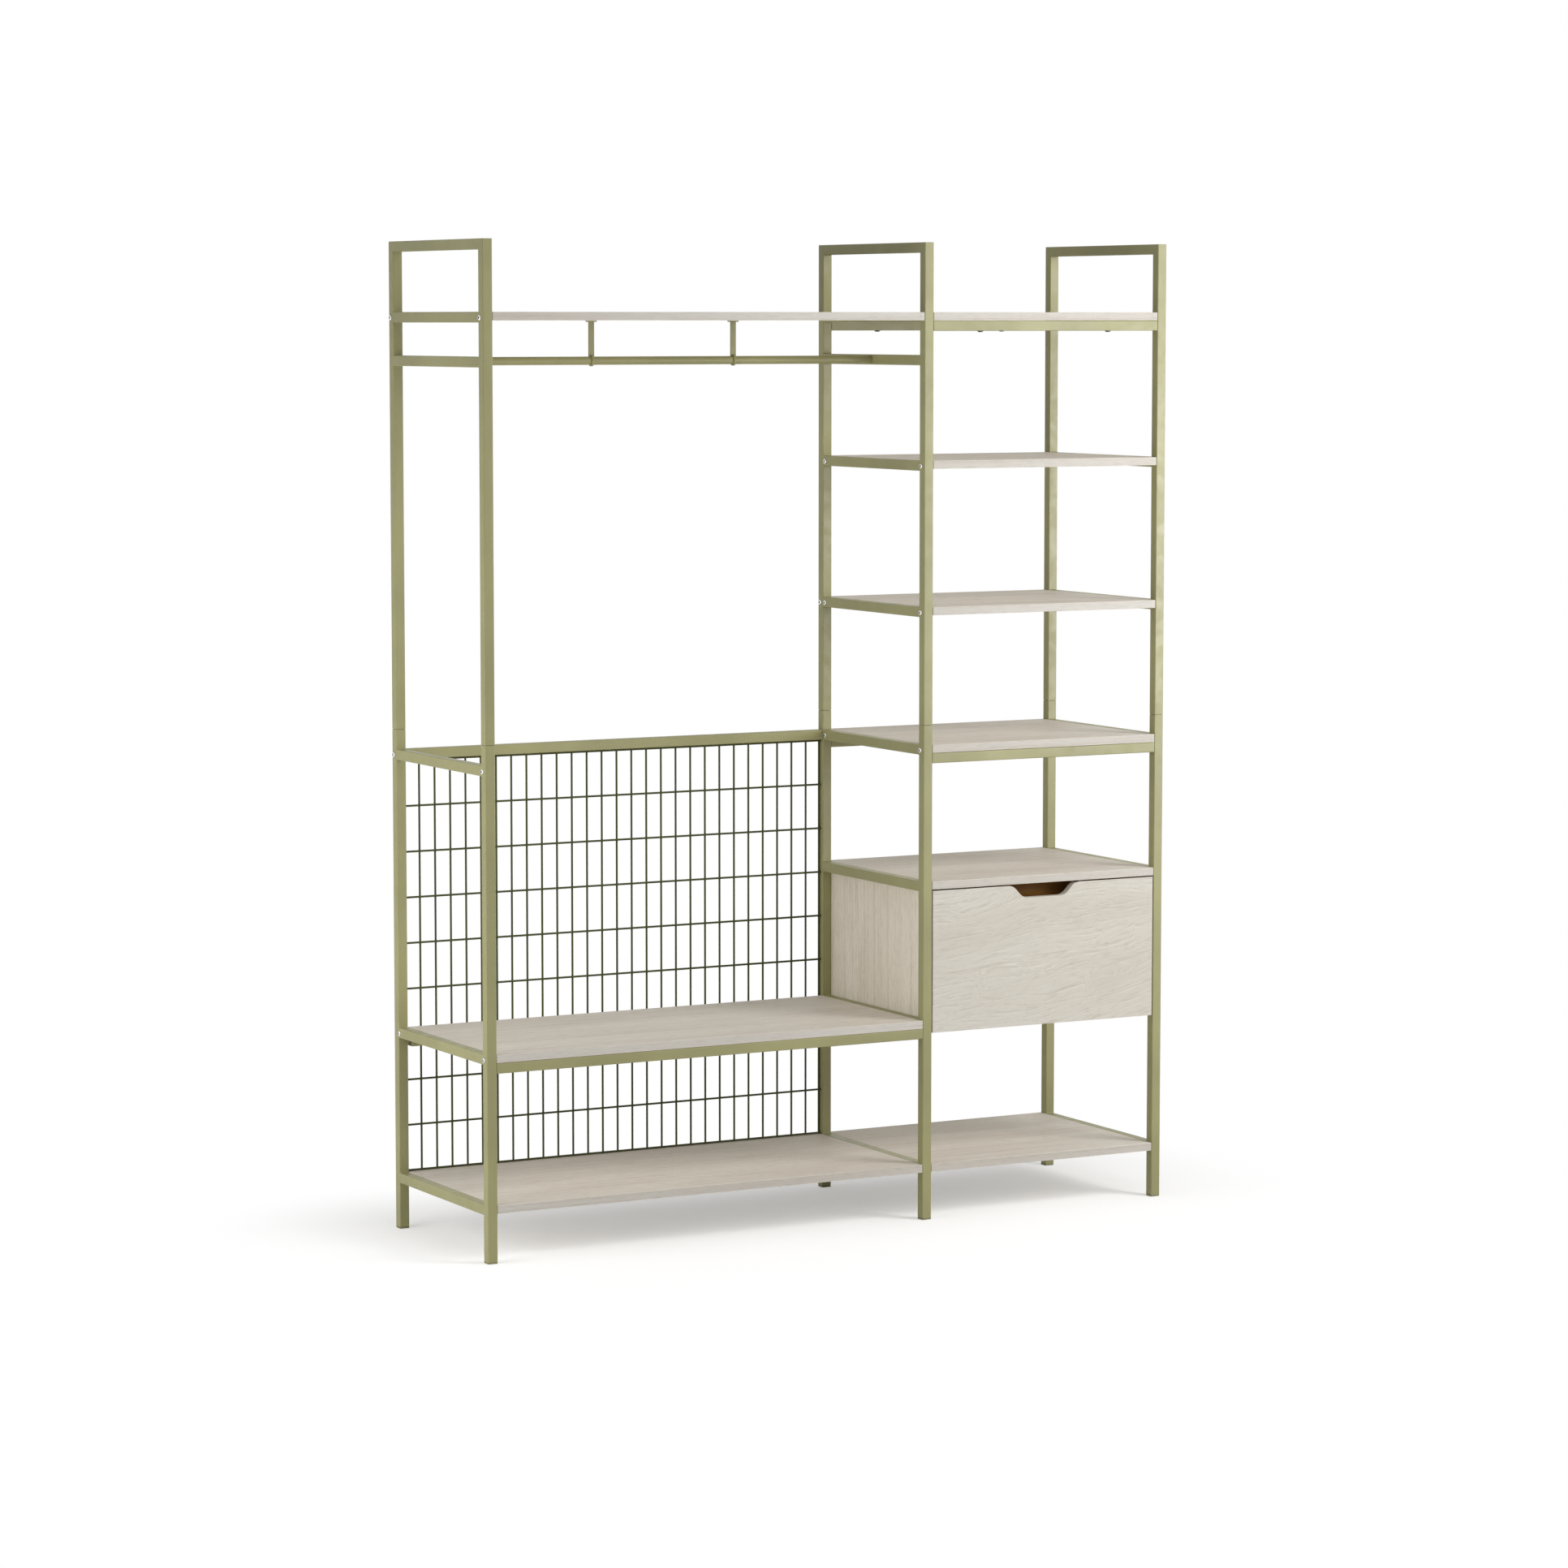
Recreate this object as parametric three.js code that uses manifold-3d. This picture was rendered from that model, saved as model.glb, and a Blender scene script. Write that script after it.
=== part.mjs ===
// Open frame wardrobe: three welded ladder frames of square steel tube carry nine boards, a wire
// mesh back, a clothes rail on hangers and a drawer on telescopic runners.
// Millimetres. X runs to the right, the front faces -Y, Z is up, and the origin lies on the floor
// under the middle of the wardrobe.

import * as THREE from 'three';
import { mergeVertices } from 'three/addons/utils/BufferGeometryUtils.js';
import Module from 'manifold-3d';

// Overall sizes
const WIDTH = 1500;
const DEPTH = 428;
const HEIGHT = 1920;
const LEFT_BAY = 924;

// Square tube
const TUBE = 20;
const TUBE_WALL = 1.5;
const TUBE_EASE = 1.2;
const VENT = 6;

// Boards
const BOARD = 16;
const BOARD_EASE = 0.8;

// Heights of the tops of the crossbars, which are also the tops of the boards. The upper ones hang
// from the hoops, and two shelves divide the space between the lower and the top level.
const HOOP_RISE = 135;
const HANGING_DROP = 83;
const UPPER_SHELF_SHARE = 0.6586;
const MIDDLE_SHELF_SHARE = 0.3201;
const LOWER_LEVEL = 941.5;
const DRAWER_LEVEL = 672;
const BENCH_LEVEL = 397.5;
const BASE_LEVEL = 111;
const TOP_LEVEL = HEIGHT - HOOP_RISE;
const HANGING_LEVEL = TOP_LEVEL - HANGING_DROP;
const UPPER_LEVEL = LOWER_LEVEL + UPPER_SHELF_SHARE * (TOP_LEVEL - LOWER_LEVEL);
const MIDDLE_LEVEL = LOWER_LEVEL + MIDDLE_SHELF_SHARE * (TOP_LEVEL - LOWER_LEVEL);

// Joint between the lower and the upper half of each frame, just above the lower level
const SEAM_RISE = 39;
const SEAM_GAP = 0.8;
const JOINER_REACH = 38;
const SEAM_LEVEL = LOWER_LEVEL + SEAM_RISE;
const JOINER_WALL = 1.5;

// Clearance between pieces, bite where two parts of a piece are welded, and overrun of a cut
const FIT = 0.3;
const BITE = 0.1;
const OVERRUN = 4;

// Foot plugs
const FOOT_FLANGE = 3;
const FOOT_EASE = 0.8;
const FOOT_STEM = 16;
const FOOT_WALL = 2;

// Bench, whose back edge stays clear of the wire mesh
const BENCH_SETBACK = 18;

// Wire mesh
const WIRE = 4;
const WIRE_WELD = 0.4;
const WIRE_SIDES = 6;
const MESH_COLUMN_PITCH = 33;
const MESH_ROWS = 10;
const MESH_SETBACK = 11.6;

// Clothes rail and its hangers
const RAIL_DIAMETER = 16;
const RAIL_WALL = 1.5;
const RAIL_PIN_REACH = 18;
const ROUND_STEPS = 24;
const HANGERS = 2;
const HANGER_STRAP = 12;
const HANGER_SHEET = 2.5;
const HANGER_DISC = 22;
const HANGER_EYE = 21.6;
const HANGER_RING = 4.4;

// Bolts with a round head and a hexagon socket
const BOLT = 5;
const BOLT_HEAD = 10;
const BOLT_HEAD_HEIGHT = 2.6;
const BOLT_RIM_HEIGHT = 1.1;
const BOLT_CROWN = 5.6;
const BOLT_KEY = 3;
const BOLT_KEY_DEPTH = 1.7;
const BOLT_GRIP = 25;
const BOLT_BLANK_GRIP = 10;
const BOLT_SEAT = 0.1;
const BOLT_STEPS = 10;
const BOLT_DROP = 11;
const BOLT_FRONT_SETBACK = 13;
const BOLT_POST_SETBACK = 8.5;
const BOLT_BESIDE_SETBACK = 29;
const BOLT_BENCH_SETBACK = 25;
const RAIL_PLUG = 30;

// Drawer front and the finger notch in its top edge
const FRONT_BOTTOM = 372;
const FRONT_TOP_GAP = 2.2;
const FRONT_SIDE_GAP = 2;
const NOTCH_WIDTH = 168;
const NOTCH_FLOOR = 74;
const NOTCH_DEPTH = 25.6;
const NOTCH_SWEEP = 24;
const NOTCH_STEPS = 8;

// Drawer box, and the two housing panels that it runs between
const HOUSING_GAP = 2;
const BOX_WALL = 12;
const BOX_EASE = 0.6;
const BOX_TOP_DROP = 45;
const BOX_RISE = 16;
const BOX_REAR_CLEARANCE = 29;
const BOX_BOTTOM = 5;
const BOX_GROOVE_DEPTH = 5;
const BOX_GROOVE_RISE = 12;

// Telescopic runners, each of three nested sheet steel channels
const RUNNER_LENGTH = 350;
const RUNNER_SETBACK = 8;
const RUNNER_RISE = 96;
const RUNNER_HEIGHT = 45;
const RUNNER_THICKNESS = 12.7;
const RUNNER_SHEET = 1.2;
const RUNNER_BALL = 3.4;
const RUNNER_LIP_GAP = 0.5;
const RUNNER_OUTER_DEPTH = 10;
const RUNNER_MIDDLE_START = 3;
const RUNNER_MIDDLE_DEPTH = 8.3;
const RUNNER_INNER_DEPTH = 7.7;

// Colours and surfaces
const PAINT = { color: 0xa9a67c, roughness: 0.5, metalness: 0.1 };
const OAK = { color: 0xcfc4b4, roughness: 0.65, metalness: 0 };
const STEEL = { color: 0xc4c6c8, roughness: 0.3, metalness: 0.9 };
const PLASTIC = { color: 0x2f2f2c, roughness: 0.6, metalness: 0 };

// Planes that follow from the sizes above
const front = -DEPTH / 2;
const back = DEPTH / 2;
const postRows = { front: front + TUBE / 2, back: back - TUBE / 2 };
const leftFrame = -WIDTH / 2 + TUBE / 2;
const middleFrame = leftFrame + TUBE + LEFT_BAY;
const rightFrame = WIDTH / 2 - TUBE / 2;
const frames = { left: leftFrame, middle: middleFrame, right: rightFrame };
const leftBay = { start: leftFrame + TUBE / 2 + FIT, end: middleFrame - TUBE / 2 - FIT };
const rightBay = { start: middleFrame + TUBE / 2 + FIT, end: rightFrame - TUBE / 2 - FIT };
const tubeBore = TUBE - 2 * TUBE_WALL;
const plugWidth = tubeBore - 2 * FIT;
const boltHole = BOLT + 2 * FIT;
const railBore = RAIL_DIAMETER - 2 * RAIL_WALL;
const railHeight = HANGING_LEVEL - TUBE / 2;
const benchBack = back - BENCH_SETBACK;

const wasm = await Module();
wasm.setup();

function toSolid(geometry) {
  geometry.deleteAttribute('normal');
  geometry.deleteAttribute('uv');
  const merged = mergeVertices(geometry);
  return new wasm.Manifold(new wasm.Mesh({
    numProp: 3,
    vertProperties: merged.attributes.position.array,
    triVerts: new Uint32Array(merged.index.array),
  }));
}

function toGeometry(solid) {
  const mesh = solid.getMesh();
  const geometry = new THREE.BufferGeometry();
  geometry.setAttribute('position', new THREE.BufferAttribute(mesh.vertProperties, 3));
  geometry.setIndex(new THREE.BufferAttribute(mesh.triVerts, 1));
  geometry.computeVertexNormals();
  return geometry;
}

function join(solid, ...others) {
  return others.reduce((whole, other) => whole.add(other), solid);
}

function cut(solid, ...tools) {
  return tools.reduce((rest, tool) => rest.subtract(tool), solid);
}

const X = new THREE.Vector3(1, 0, 0);
const Y = new THREE.Vector3(0, 1, 0);
const Z = new THREE.Vector3(0, 0, 1);
const planes = {
  x: new THREE.Matrix4().makeBasis(Y, Z, X),
  y: new THREE.Matrix4().makeBasis(X, Z, Y.clone().negate()),
  z: new THREE.Matrix4().makeBasis(X, Y, Z),
};

// Carries an outline along an axis. The outline's two coordinates are Y and Z along x, X and Z
// along y, and X and Y along z. The edges of both ends are eased.
function extrude(shape, axis, from, to, ease = 0) {
  const geometry = new THREE.ExtrudeGeometry(shape, {
    depth: to - from - 2 * ease,
    bevelEnabled: ease > 0,
    bevelThickness: ease,
    bevelSize: ease,
    bevelOffset: -ease,
    bevelSegments: 1,
    curveSegments: NOTCH_STEPS,
  });
  const start = axis === 'y' ? -to : from;
  geometry.translate(0, 0, start + ease);
  geometry.applyMatrix4(planes[axis]);
  return toSolid(geometry);
}

function polygon(points) {
  return new THREE.Shape(points.map(([u, v]) => new THREE.Vector2(u, v)));
}

function rectangle(u0, u1, v0, v1) {
  return polygon([[u0, v0], [u1, v0], [u1, v1], [u0, v1]]);
}

// A square with its corners cut, about the point u, v
function easedSquare(size, ease, u, v) {
  const side = size / 2;
  const flat = side - ease;
  return polygon([
    [u + side, v - flat], [u + side, v + flat], [u + flat, v + side], [u - flat, v + side],
    [u - side, v + flat], [u - side, v - flat], [u - flat, v - side], [u + flat, v - side],
  ]);
}

// A regular polygon measured over its corners, about the point u, v
function round(diameter, u, v, steps = BOLT_STEPS, turn = 0) {
  const points = [];
  for (let i = 0; i < steps; i += 1) {
    const angle = turn + (2 * Math.PI * i) / steps;
    points.push([u + (diameter / 2) * Math.cos(angle), v + (diameter / 2) * Math.sin(angle)]);
  }
  return polygon(points);
}

function block(x0, x1, y0, y1, z0, z1) {
  const geometry = new THREE.BoxGeometry(x1 - x0, y1 - y0, z1 - z0);
  geometry.translate((x0 + x1) / 2, (y0 + y1) / 2, (z0 + z1) / 2);
  return toSolid(geometry);
}

// A block centred on x and y
function pillar(width, x, y, z0, z1) {
  const half = width / 2;
  return block(x - half, x + half, y - half, y + half, z0, z1);
}

const wardrobe = new THREE.Group();

function addPiece(name, solid, finish) {
  const mesh = new THREE.Mesh(toGeometry(solid), new THREE.MeshStandardMaterial(finish));
  mesh.name = name;
  wardrobe.add(mesh);
  return mesh;
}

// Each bolt passes through a frame and holds the end of a board or rail, and one closes a spare
// hole. The side is that of its head on the frame, -1 left and 1 right: the right frame is bolted
// from outside.
const boltRows = {
  front: front + BOLT_FRONT_SETBACK,
  post: back - BOLT_POST_SETBACK,
  beside: back - BOLT_BESIDE_SETBACK,
  bench: back - BOLT_BENCH_SETBACK,
};

function bolt(frame, place, row, level, holds) {
  return { frame, place, side: frame === 'right' ? 1 : -1, row, level, holds };
}

const bolts = [
  bolt('left', 'top_front', 'front', TOP_LEVEL, 'top_board_left'),
  bolt('left', 'top_back', 'post', TOP_LEVEL, 'top_board_left'),
  bolt('left', 'lower_front', 'front', LOWER_LEVEL, null),
  bolt('left', 'lower_back', 'post', LOWER_LEVEL, 'mesh_rail'),
  bolt('left', 'bench_front', 'front', BENCH_LEVEL, 'bench_board'),
  bolt('left', 'bench_back', 'bench', BENCH_LEVEL, 'bench_board'),
  bolt('middle', 'upper_front', 'front', UPPER_LEVEL, 'upper_shelf'),
  bolt('middle', 'upper_back', 'beside', UPPER_LEVEL, 'upper_shelf'),
  bolt('middle', 'middle_front', 'front', MIDDLE_LEVEL, 'middle_shelf'),
  bolt('middle', 'middle_back', 'beside', MIDDLE_LEVEL, 'middle_shelf'),
  bolt('middle', 'middle_post', 'post', MIDDLE_LEVEL, 'middle_shelf'),
  bolt('middle', 'lower_front', 'front', LOWER_LEVEL, 'lower_shelf'),
  bolt('middle', 'lower_back', 'beside', LOWER_LEVEL, 'lower_shelf'),
  bolt('right', 'top_front', 'front', TOP_LEVEL, 'top_board_right'),
  bolt('right', 'top_back', 'post', TOP_LEVEL, 'top_board_right'),
];

function boltLength(holds) {
  const reach = holds ? TUBE + FIT + BOLT_GRIP : TUBE_WALL + BOLT_BLANK_GRIP;
  return BOLT_SEAT + reach;
}

// The head's crown lies on +X and the shank runs to -X from the face that the head rests on.
function boltSolid(length) {
  const profile = [
    [0, -length], [BOLT / 2, -length], [BOLT / 2, 0], [BOLT_HEAD / 2, 0],
    [BOLT_HEAD / 2, BOLT_RIM_HEIGHT], [BOLT_CROWN / 2, BOLT_HEAD_HEIGHT], [0, BOLT_HEAD_HEIGHT],
  ].map(([radius, height]) => new THREE.Vector2(radius, height));
  const body = toSolid(new THREE.LatheGeometry(profile, BOLT_STEPS).rotateZ(-Math.PI / 2));
  const key = round((2 * BOLT_KEY) / Math.sqrt(3), 0, 0, 6);
  const deepest = BOLT_HEAD_HEIGHT - BOLT_KEY_DEPTH;
  return cut(body, extrude(key, 'x', deepest, BOLT_HEAD_HEIGHT + OVERRUN));
}

function addBolts() {
  bolts.forEach(({ frame, place, side, row, level, holds }) => {
    const mesh = addPiece(`bolt_${frame}_${place}`, boltSolid(boltLength(holds)), STEEL);
    const seat = frames[frame] + side * (TUBE / 2 + BOLT_SEAT);
    mesh.position.set(seat, boltRows[row], level - BOLT_DROP);
    mesh.rotation.z = side < 0 ? Math.PI : 0;
  });
}

// The hole for a bolt through a frame that stands at X = 0
function frameHole({ row, level }) {
  const shape = round(boltHole, boltRows[row], level - BOLT_DROP);
  return extrude(shape, 'x', -TUBE / 2 - OVERRUN, TUBE / 2 + OVERRUN);
}

// The holes for bolts in the end of a board or rail
function sockets(name) {
  return bolts.filter(({ holds }) => holds === name).map(({ frame, side, row, level }) => {
    const face = frames[frame] - side * (TUBE / 2);
    const reach = FIT + BOLT_GRIP + FIT;
    const ends = [face + side * OVERRUN, face - side * reach];
    const shape = round(boltHole, boltRows[row], level - BOLT_DROP);
    return extrude(shape, 'x', Math.min(...ends), Math.max(...ends));
  });
}

// A ladder of two posts and crossbars, seen from its side, with a window between crossbars. A
// hooped ladder ends in its highest crossbar, and the posts of any other run on past it.
function ladderOutline(levels, low, high, hooped) {
  const inFront = front + TUBE;
  const inBack = back - TUBE;
  const lowest = levels[levels.length - 1] - TUBE;
  const legs = [
    [front, low], [inFront, low], [inFront, lowest], [inBack, lowest], [inBack, low], [back, low],
  ];
  const open = [[inBack, high], [inBack, levels[0]], [inFront, levels[0]], [inFront, high]];
  const shape = polygon([...legs, [back, high], ...(hooped ? [] : open), [front, high]]);
  for (let i = 1; i < levels.length; i += 1) {
    shape.holes.push(rectangle(inFront, inBack, levels[i], levels[i - 1] - TUBE));
  }
  return shape;
}

// The hollow of a crossbar, and the hole that lets it breathe into the posts
function crossbarHollow(level) {
  const half = tubeBore / 2;
  const hollow = block(-half, half, front + TUBE, back - TUBE, level - TUBE + TUBE_WALL, level - TUBE_WALL);
  const vent = extrude(round(VENT, 0, level - TUBE / 2), 'y', postRows.front, postRows.back);
  return join(hollow, vent);
}

// The hoop is mitred, so that its hollow runs on into both posts.
function hoopHollow(level) {
  const half = tubeBore / 2;
  return block(-half, half, front + TUBE_WALL, back - TUBE_WALL, level - TUBE + TUBE_WALL, level - TUBE_WALL);
}

function weldedLadder(frame, levels, low, high, hooped) {
  const bottom = low - OVERRUN;
  const top = hooped ? high : high + OVERRUN;
  const outline = ladderOutline(levels, bottom, top, hooped);
  let ladder = extrude(outline, 'x', -TUBE / 2, TUBE / 2, TUBE_EASE);
  ladder = cut(ladder, block(-TUBE, TUBE, front - TUBE, back + TUBE, bottom - OVERRUN, low));
  if (!hooped) {
    ladder = cut(ladder, block(-TUBE, TUBE, front - TUBE, back + TUBE, high, top + OVERRUN));
  }
  const boreTop = hooped ? high - TUBE_WALL : top;
  Object.values(postRows).forEach((row) => {
    ladder = cut(ladder, pillar(tubeBore, 0, row, bottom, boreTop));
  });
  levels.forEach((level) => {
    ladder = cut(ladder, level === HEIGHT ? hoopHollow(level) : crossbarHollow(level));
  });
  const holes = bolts
    .filter((each) => each.frame === frame && each.level < high && each.level > low)
    .map(frameHole);
  return cut(ladder, ...holes);
}

// A sleeve that is tight in the lower post and slides into the upper one
function joiner(row) {
  const lowEnd = SEAM_LEVEL - JOINER_REACH;
  const highEnd = SEAM_LEVEL + JOINER_REACH;
  const tight = pillar(tubeBore + 2 * BITE, 0, row, lowEnd, SEAM_LEVEL - SEAM_GAP);
  const loose = pillar(plugWidth, 0, row, lowEnd, highEnd);
  const hollow = pillar(plugWidth - 2 * JOINER_WALL, 0, row, lowEnd - OVERRUN, highEnd + OVERRUN);
  return cut(join(tight, loose), hollow);
}

// The pin that carries one end of the clothes rail, on the right or left face of a frame
function railPin(side) {
  const ends = [side * (TUBE / 2 - TUBE_WALL / 2), side * (TUBE / 2 + RAIL_PIN_REACH)];
  return extrude(round(railBore - 2 * FIT, 0, railHeight), 'x', Math.min(...ends), Math.max(...ends));
}

function lowerFrame(frame, levels) {
  const ladder = weldedLadder(frame, levels, FOOT_FLANGE + FIT, SEAM_LEVEL - SEAM_GAP / 2, false);
  return join(ladder, joiner(postRows.front), joiner(postRows.back));
}

function upperFrame(frame, levels) {
  return weldedLadder(frame, [HEIGHT, ...levels], SEAM_LEVEL + SEAM_GAP / 2, HEIGHT, true);
}

function addFrames() {
  const halves = {
    left_frame_lower: lowerFrame('left', [LOWER_LEVEL, BENCH_LEVEL, BASE_LEVEL]),
    left_frame_upper: join(upperFrame('left', [TOP_LEVEL, HANGING_LEVEL]), railPin(1)),
    middle_frame_lower: lowerFrame('middle', [LOWER_LEVEL, DRAWER_LEVEL, BENCH_LEVEL, BASE_LEVEL]),
    middle_frame_upper: join(
      upperFrame('middle', [TOP_LEVEL, HANGING_LEVEL, UPPER_LEVEL, MIDDLE_LEVEL]),
      railPin(-1),
    ),
    right_frame_lower: lowerFrame('right', [LOWER_LEVEL, DRAWER_LEVEL, BENCH_LEVEL, BASE_LEVEL]),
    right_frame_upper: upperFrame('right', [TOP_LEVEL, UPPER_LEVEL, MIDDLE_LEVEL]),
  };
  Object.entries(halves).forEach(([name, solid]) => {
    const [frame] = name.split('_');
    addPiece(name, solid, PAINT).position.x = frames[frame];
  });
}

// A flange under the end of the tube, and a hollow stem inside it
function footPlug() {
  const flange = extrude(easedSquare(TUBE, TUBE_EASE, 0, 0), 'z', 0, FOOT_FLANGE, FOOT_EASE);
  const top = FOOT_FLANGE + FOOT_STEM;
  const stem = pillar(plugWidth, 0, 0, FOOT_FLANGE - FOOT_EASE, top);
  const hollow = pillar(plugWidth - 2 * FOOT_WALL, 0, 0, FOOT_FLANGE, top + OVERRUN);
  return cut(join(flange, stem), hollow);
}

function addFeet() {
  Object.entries(frames).forEach(([frame, x]) => {
    Object.entries(postRows).forEach(([row, y]) => {
      addPiece(`foot_${frame}_${row}`, footPlug(), PLASTIC).position.set(x, y, 0);
    });
  });
}

function addBoard(name, bay, top, rear = back) {
  const outline = rectangle(bay.start, bay.end, front, rear);
  const panel = extrude(outline, 'z', top - BOARD, top, BOARD_EASE);
  addPiece(name, cut(panel, ...sockets(name)), OAK);
}

function addBoards() {
  addBoard('top_board_left', leftBay, TOP_LEVEL);
  addBoard('top_board_right', rightBay, TOP_LEVEL);
  addBoard('upper_shelf', rightBay, UPPER_LEVEL);
  addBoard('middle_shelf', rightBay, MIDDLE_LEVEL);
  addBoard('lower_shelf', rightBay, LOWER_LEVEL);
  addBoard('drawer_top_board', rightBay, DRAWER_LEVEL);
  addBoard('bench_board', leftBay, BENCH_LEVEL, benchBack);
  addBoard('bottom_board_left', leftBay, BASE_LEVEL);
  addBoard('bottom_board_right', rightBay, BASE_LEVEL);
}

// A square tube across a bay, open at both ends
function crossRail(bay, row, top) {
  const middle = top - TUBE / 2;
  const half = tubeBore / 2;
  const tube = extrude(easedSquare(TUBE, TUBE_EASE, row, middle), 'x', bay.start, bay.end);
  const hollow = block(
    bay.start - OVERRUN, bay.end + OVERRUN, row - half, row + half, middle - half, middle + half,
  );
  return cut(tube, hollow);
}

function addRails() {
  const underTop = TOP_LEVEL - BOARD - FIT;
  const underLower = LOWER_LEVEL - BOARD - FIT;
  const underBench = BENCH_LEVEL - BOARD - FIT;
  addPiece('top_rail_front', crossRail(rightBay, postRows.front, underTop), PAINT);
  addPiece('top_rail_back', crossRail(rightBay, postRows.back, underTop), PAINT);
  addPiece('lower_rail_front', crossRail(rightBay, postRows.front, underLower), PAINT);
  addPiece('lower_rail_back', crossRail(rightBay, postRows.back, underLower), PAINT);
  addPiece('bench_rail_front', crossRail(leftBay, postRows.front, underBench), PAINT);
  addPiece('bench_rail_back', crossRail(leftBay, benchBack - TUBE / 2, underBench), PAINT);
}

// The rail over the mesh has a threaded plug welded into each end.
function addMeshRail() {
  const half = tubeBore / 2 + BITE;
  const middle = LOWER_LEVEL - TUBE / 2;
  const plugs = [leftBay.start, leftBay.end - RAIL_PLUG].map((x) => block(
    x, x + RAIL_PLUG, postRows.back - half, postRows.back + half, middle - half, middle + half,
  ));
  const tapping = extrude(
    round(boltHole, boltRows.post, LOWER_LEVEL - BOLT_DROP),
    'x',
    leftBay.start - OVERRUN,
    leftBay.end + OVERRUN,
  );
  const rail = join(crossRail(leftBay, postRows.back, LOWER_LEVEL), ...plugs);
  addPiece('mesh_rail', cut(rail, tapping), PAINT);
}

// Rows of wire lie across the front of the columns and are welded to them at every crossing, where
// the wires meet corner to corner. The outermost columns lie against the posts, and the others keep
// one pitch from the middle of the bay.
function addMeshPanel() {
  const overCorners = WIRE / Math.cos(Math.PI / WIRE_SIDES);
  const low = BASE_LEVEL + FIT;
  const high = LOWER_LEVEL - TUBE - FIT;
  const rowY = back - MESH_SETBACK;
  const columnY = rowY + overCorners - WIRE_WELD;
  const centre = (leftBay.start + leftBay.end) / 2;
  const edge = (leftBay.end - leftBay.start - WIRE) / 2;
  const inner = Math.floor((edge - WIRE) / MESH_COLUMN_PITCH);

  const places = [centre - edge, centre + edge];
  for (let i = -inner; i <= inner; i += 1) {
    places.push(centre + i * MESH_COLUMN_PITCH);
  }
  const columns = places.map((x) => {
    const section = round(overCorners, x, columnY, WIRE_SIDES, Math.PI / WIRE_SIDES);
    return extrude(section, 'z', low, high);
  });

  const pitch = (high - low - WIRE) / (MESH_ROWS - 1);
  const rows = [];
  for (let i = 0; i < MESH_ROWS; i += 1) {
    const section = round(overCorners, rowY, low + WIRE / 2 + i * pitch, WIRE_SIDES);
    rows.push(extrude(section, 'x', leftBay.start, leftBay.end));
  }
  addPiece('mesh_panel', join(rows[0], ...rows.slice(1), ...columns), PAINT);
}

function addClothesRail() {
  const section = round(RAIL_DIAMETER, 0, railHeight, ROUND_STEPS);
  section.holes.push(round(railBore, 0, railHeight, ROUND_STEPS));
  addPiece('clothes_rail', extrude(section, 'x', leftBay.start, leftBay.end), PAINT);
}

// A strap of sheet steel, with a disc welded on under the top board and a ring round the rail
function railHanger(x) {
  const top = TOP_LEVEL - BOARD - FIT;
  const strap = [x - HANGER_STRAP / 2, x + HANGER_STRAP / 2];
  const ring = [x - HANGER_RING / 2, x + HANGER_RING / 2];
  const body = join(
    block(...strap, -HANGER_SHEET / 2, HANGER_SHEET / 2, railHeight, top),
    extrude(round(HANGER_DISC, x, 0, ROUND_STEPS), 'z', top - HANGER_SHEET, top),
    extrude(round(HANGER_EYE, 0, railHeight, ROUND_STEPS), 'x', ...ring),
  );
  const hole = round(RAIL_DIAMETER + 2 * FIT, 0, railHeight, ROUND_STEPS);
  return cut(body, extrude(hole, 'x', strap[0] - OVERRUN, strap[1] + OVERRUN));
}

function addHangers() {
  const step = (leftBay.end - leftBay.start) / (HANGERS + 1);
  for (let i = 1; i <= HANGERS; i += 1) {
    addPiece(`rail_hanger_${i}`, railHanger(leftBay.start + i * step), PAINT);
  }
}

// Planes of the drawer
const frontTop = DRAWER_LEVEL - BOARD - FRONT_TOP_GAP;
const frontRear = front + BOARD;
const housing = {
  low: FRONT_BOTTOM,
  high: DRAWER_LEVEL - BOARD - FIT,
  front: frontRear + HOUSING_GAP,
  back,
};
const runnerSpace = RUNNER_THICKNESS + 2 * FIT;
const boxBounds = {
  left: rightBay.start + BOARD + runnerSpace,
  right: rightBay.end - BOARD - runnerSpace,
  front: frontRear + FIT,
  back: back - BOX_REAR_CLEARANCE,
  low: FRONT_BOTTOM + BOX_RISE,
  high: frontTop - BOX_TOP_DROP,
};
const boxInside = { left: boxBounds.left + BOX_WALL, right: boxBounds.right - BOX_WALL };
const grooveLow = boxBounds.low + BOX_GROOVE_RISE;

function addHousing() {
  const outline = rectangle(housing.front, housing.back, housing.low, housing.high);
  const panels = {
    drawer_housing_left: rightBay.start,
    drawer_housing_right: rightBay.end - BOARD,
  };
  Object.entries(panels).forEach(([name, x]) => {
    addPiece(name, extrude(outline, 'x', x, x + BOARD, BOARD_EASE), OAK);
  });
}

// The groove round the inside of the drawer, which holds the edges of its bottom
function boxGroove() {
  return block(
    boxInside.left - BOX_GROOVE_DEPTH, boxInside.right + BOX_GROOVE_DEPTH,
    frontRear - BOX_GROOVE_DEPTH, boxBounds.back - BOX_WALL + BOX_GROOVE_DEPTH,
    grooveLow, grooveLow + BOX_BOTTOM + 2 * FIT,
  );
}

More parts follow.
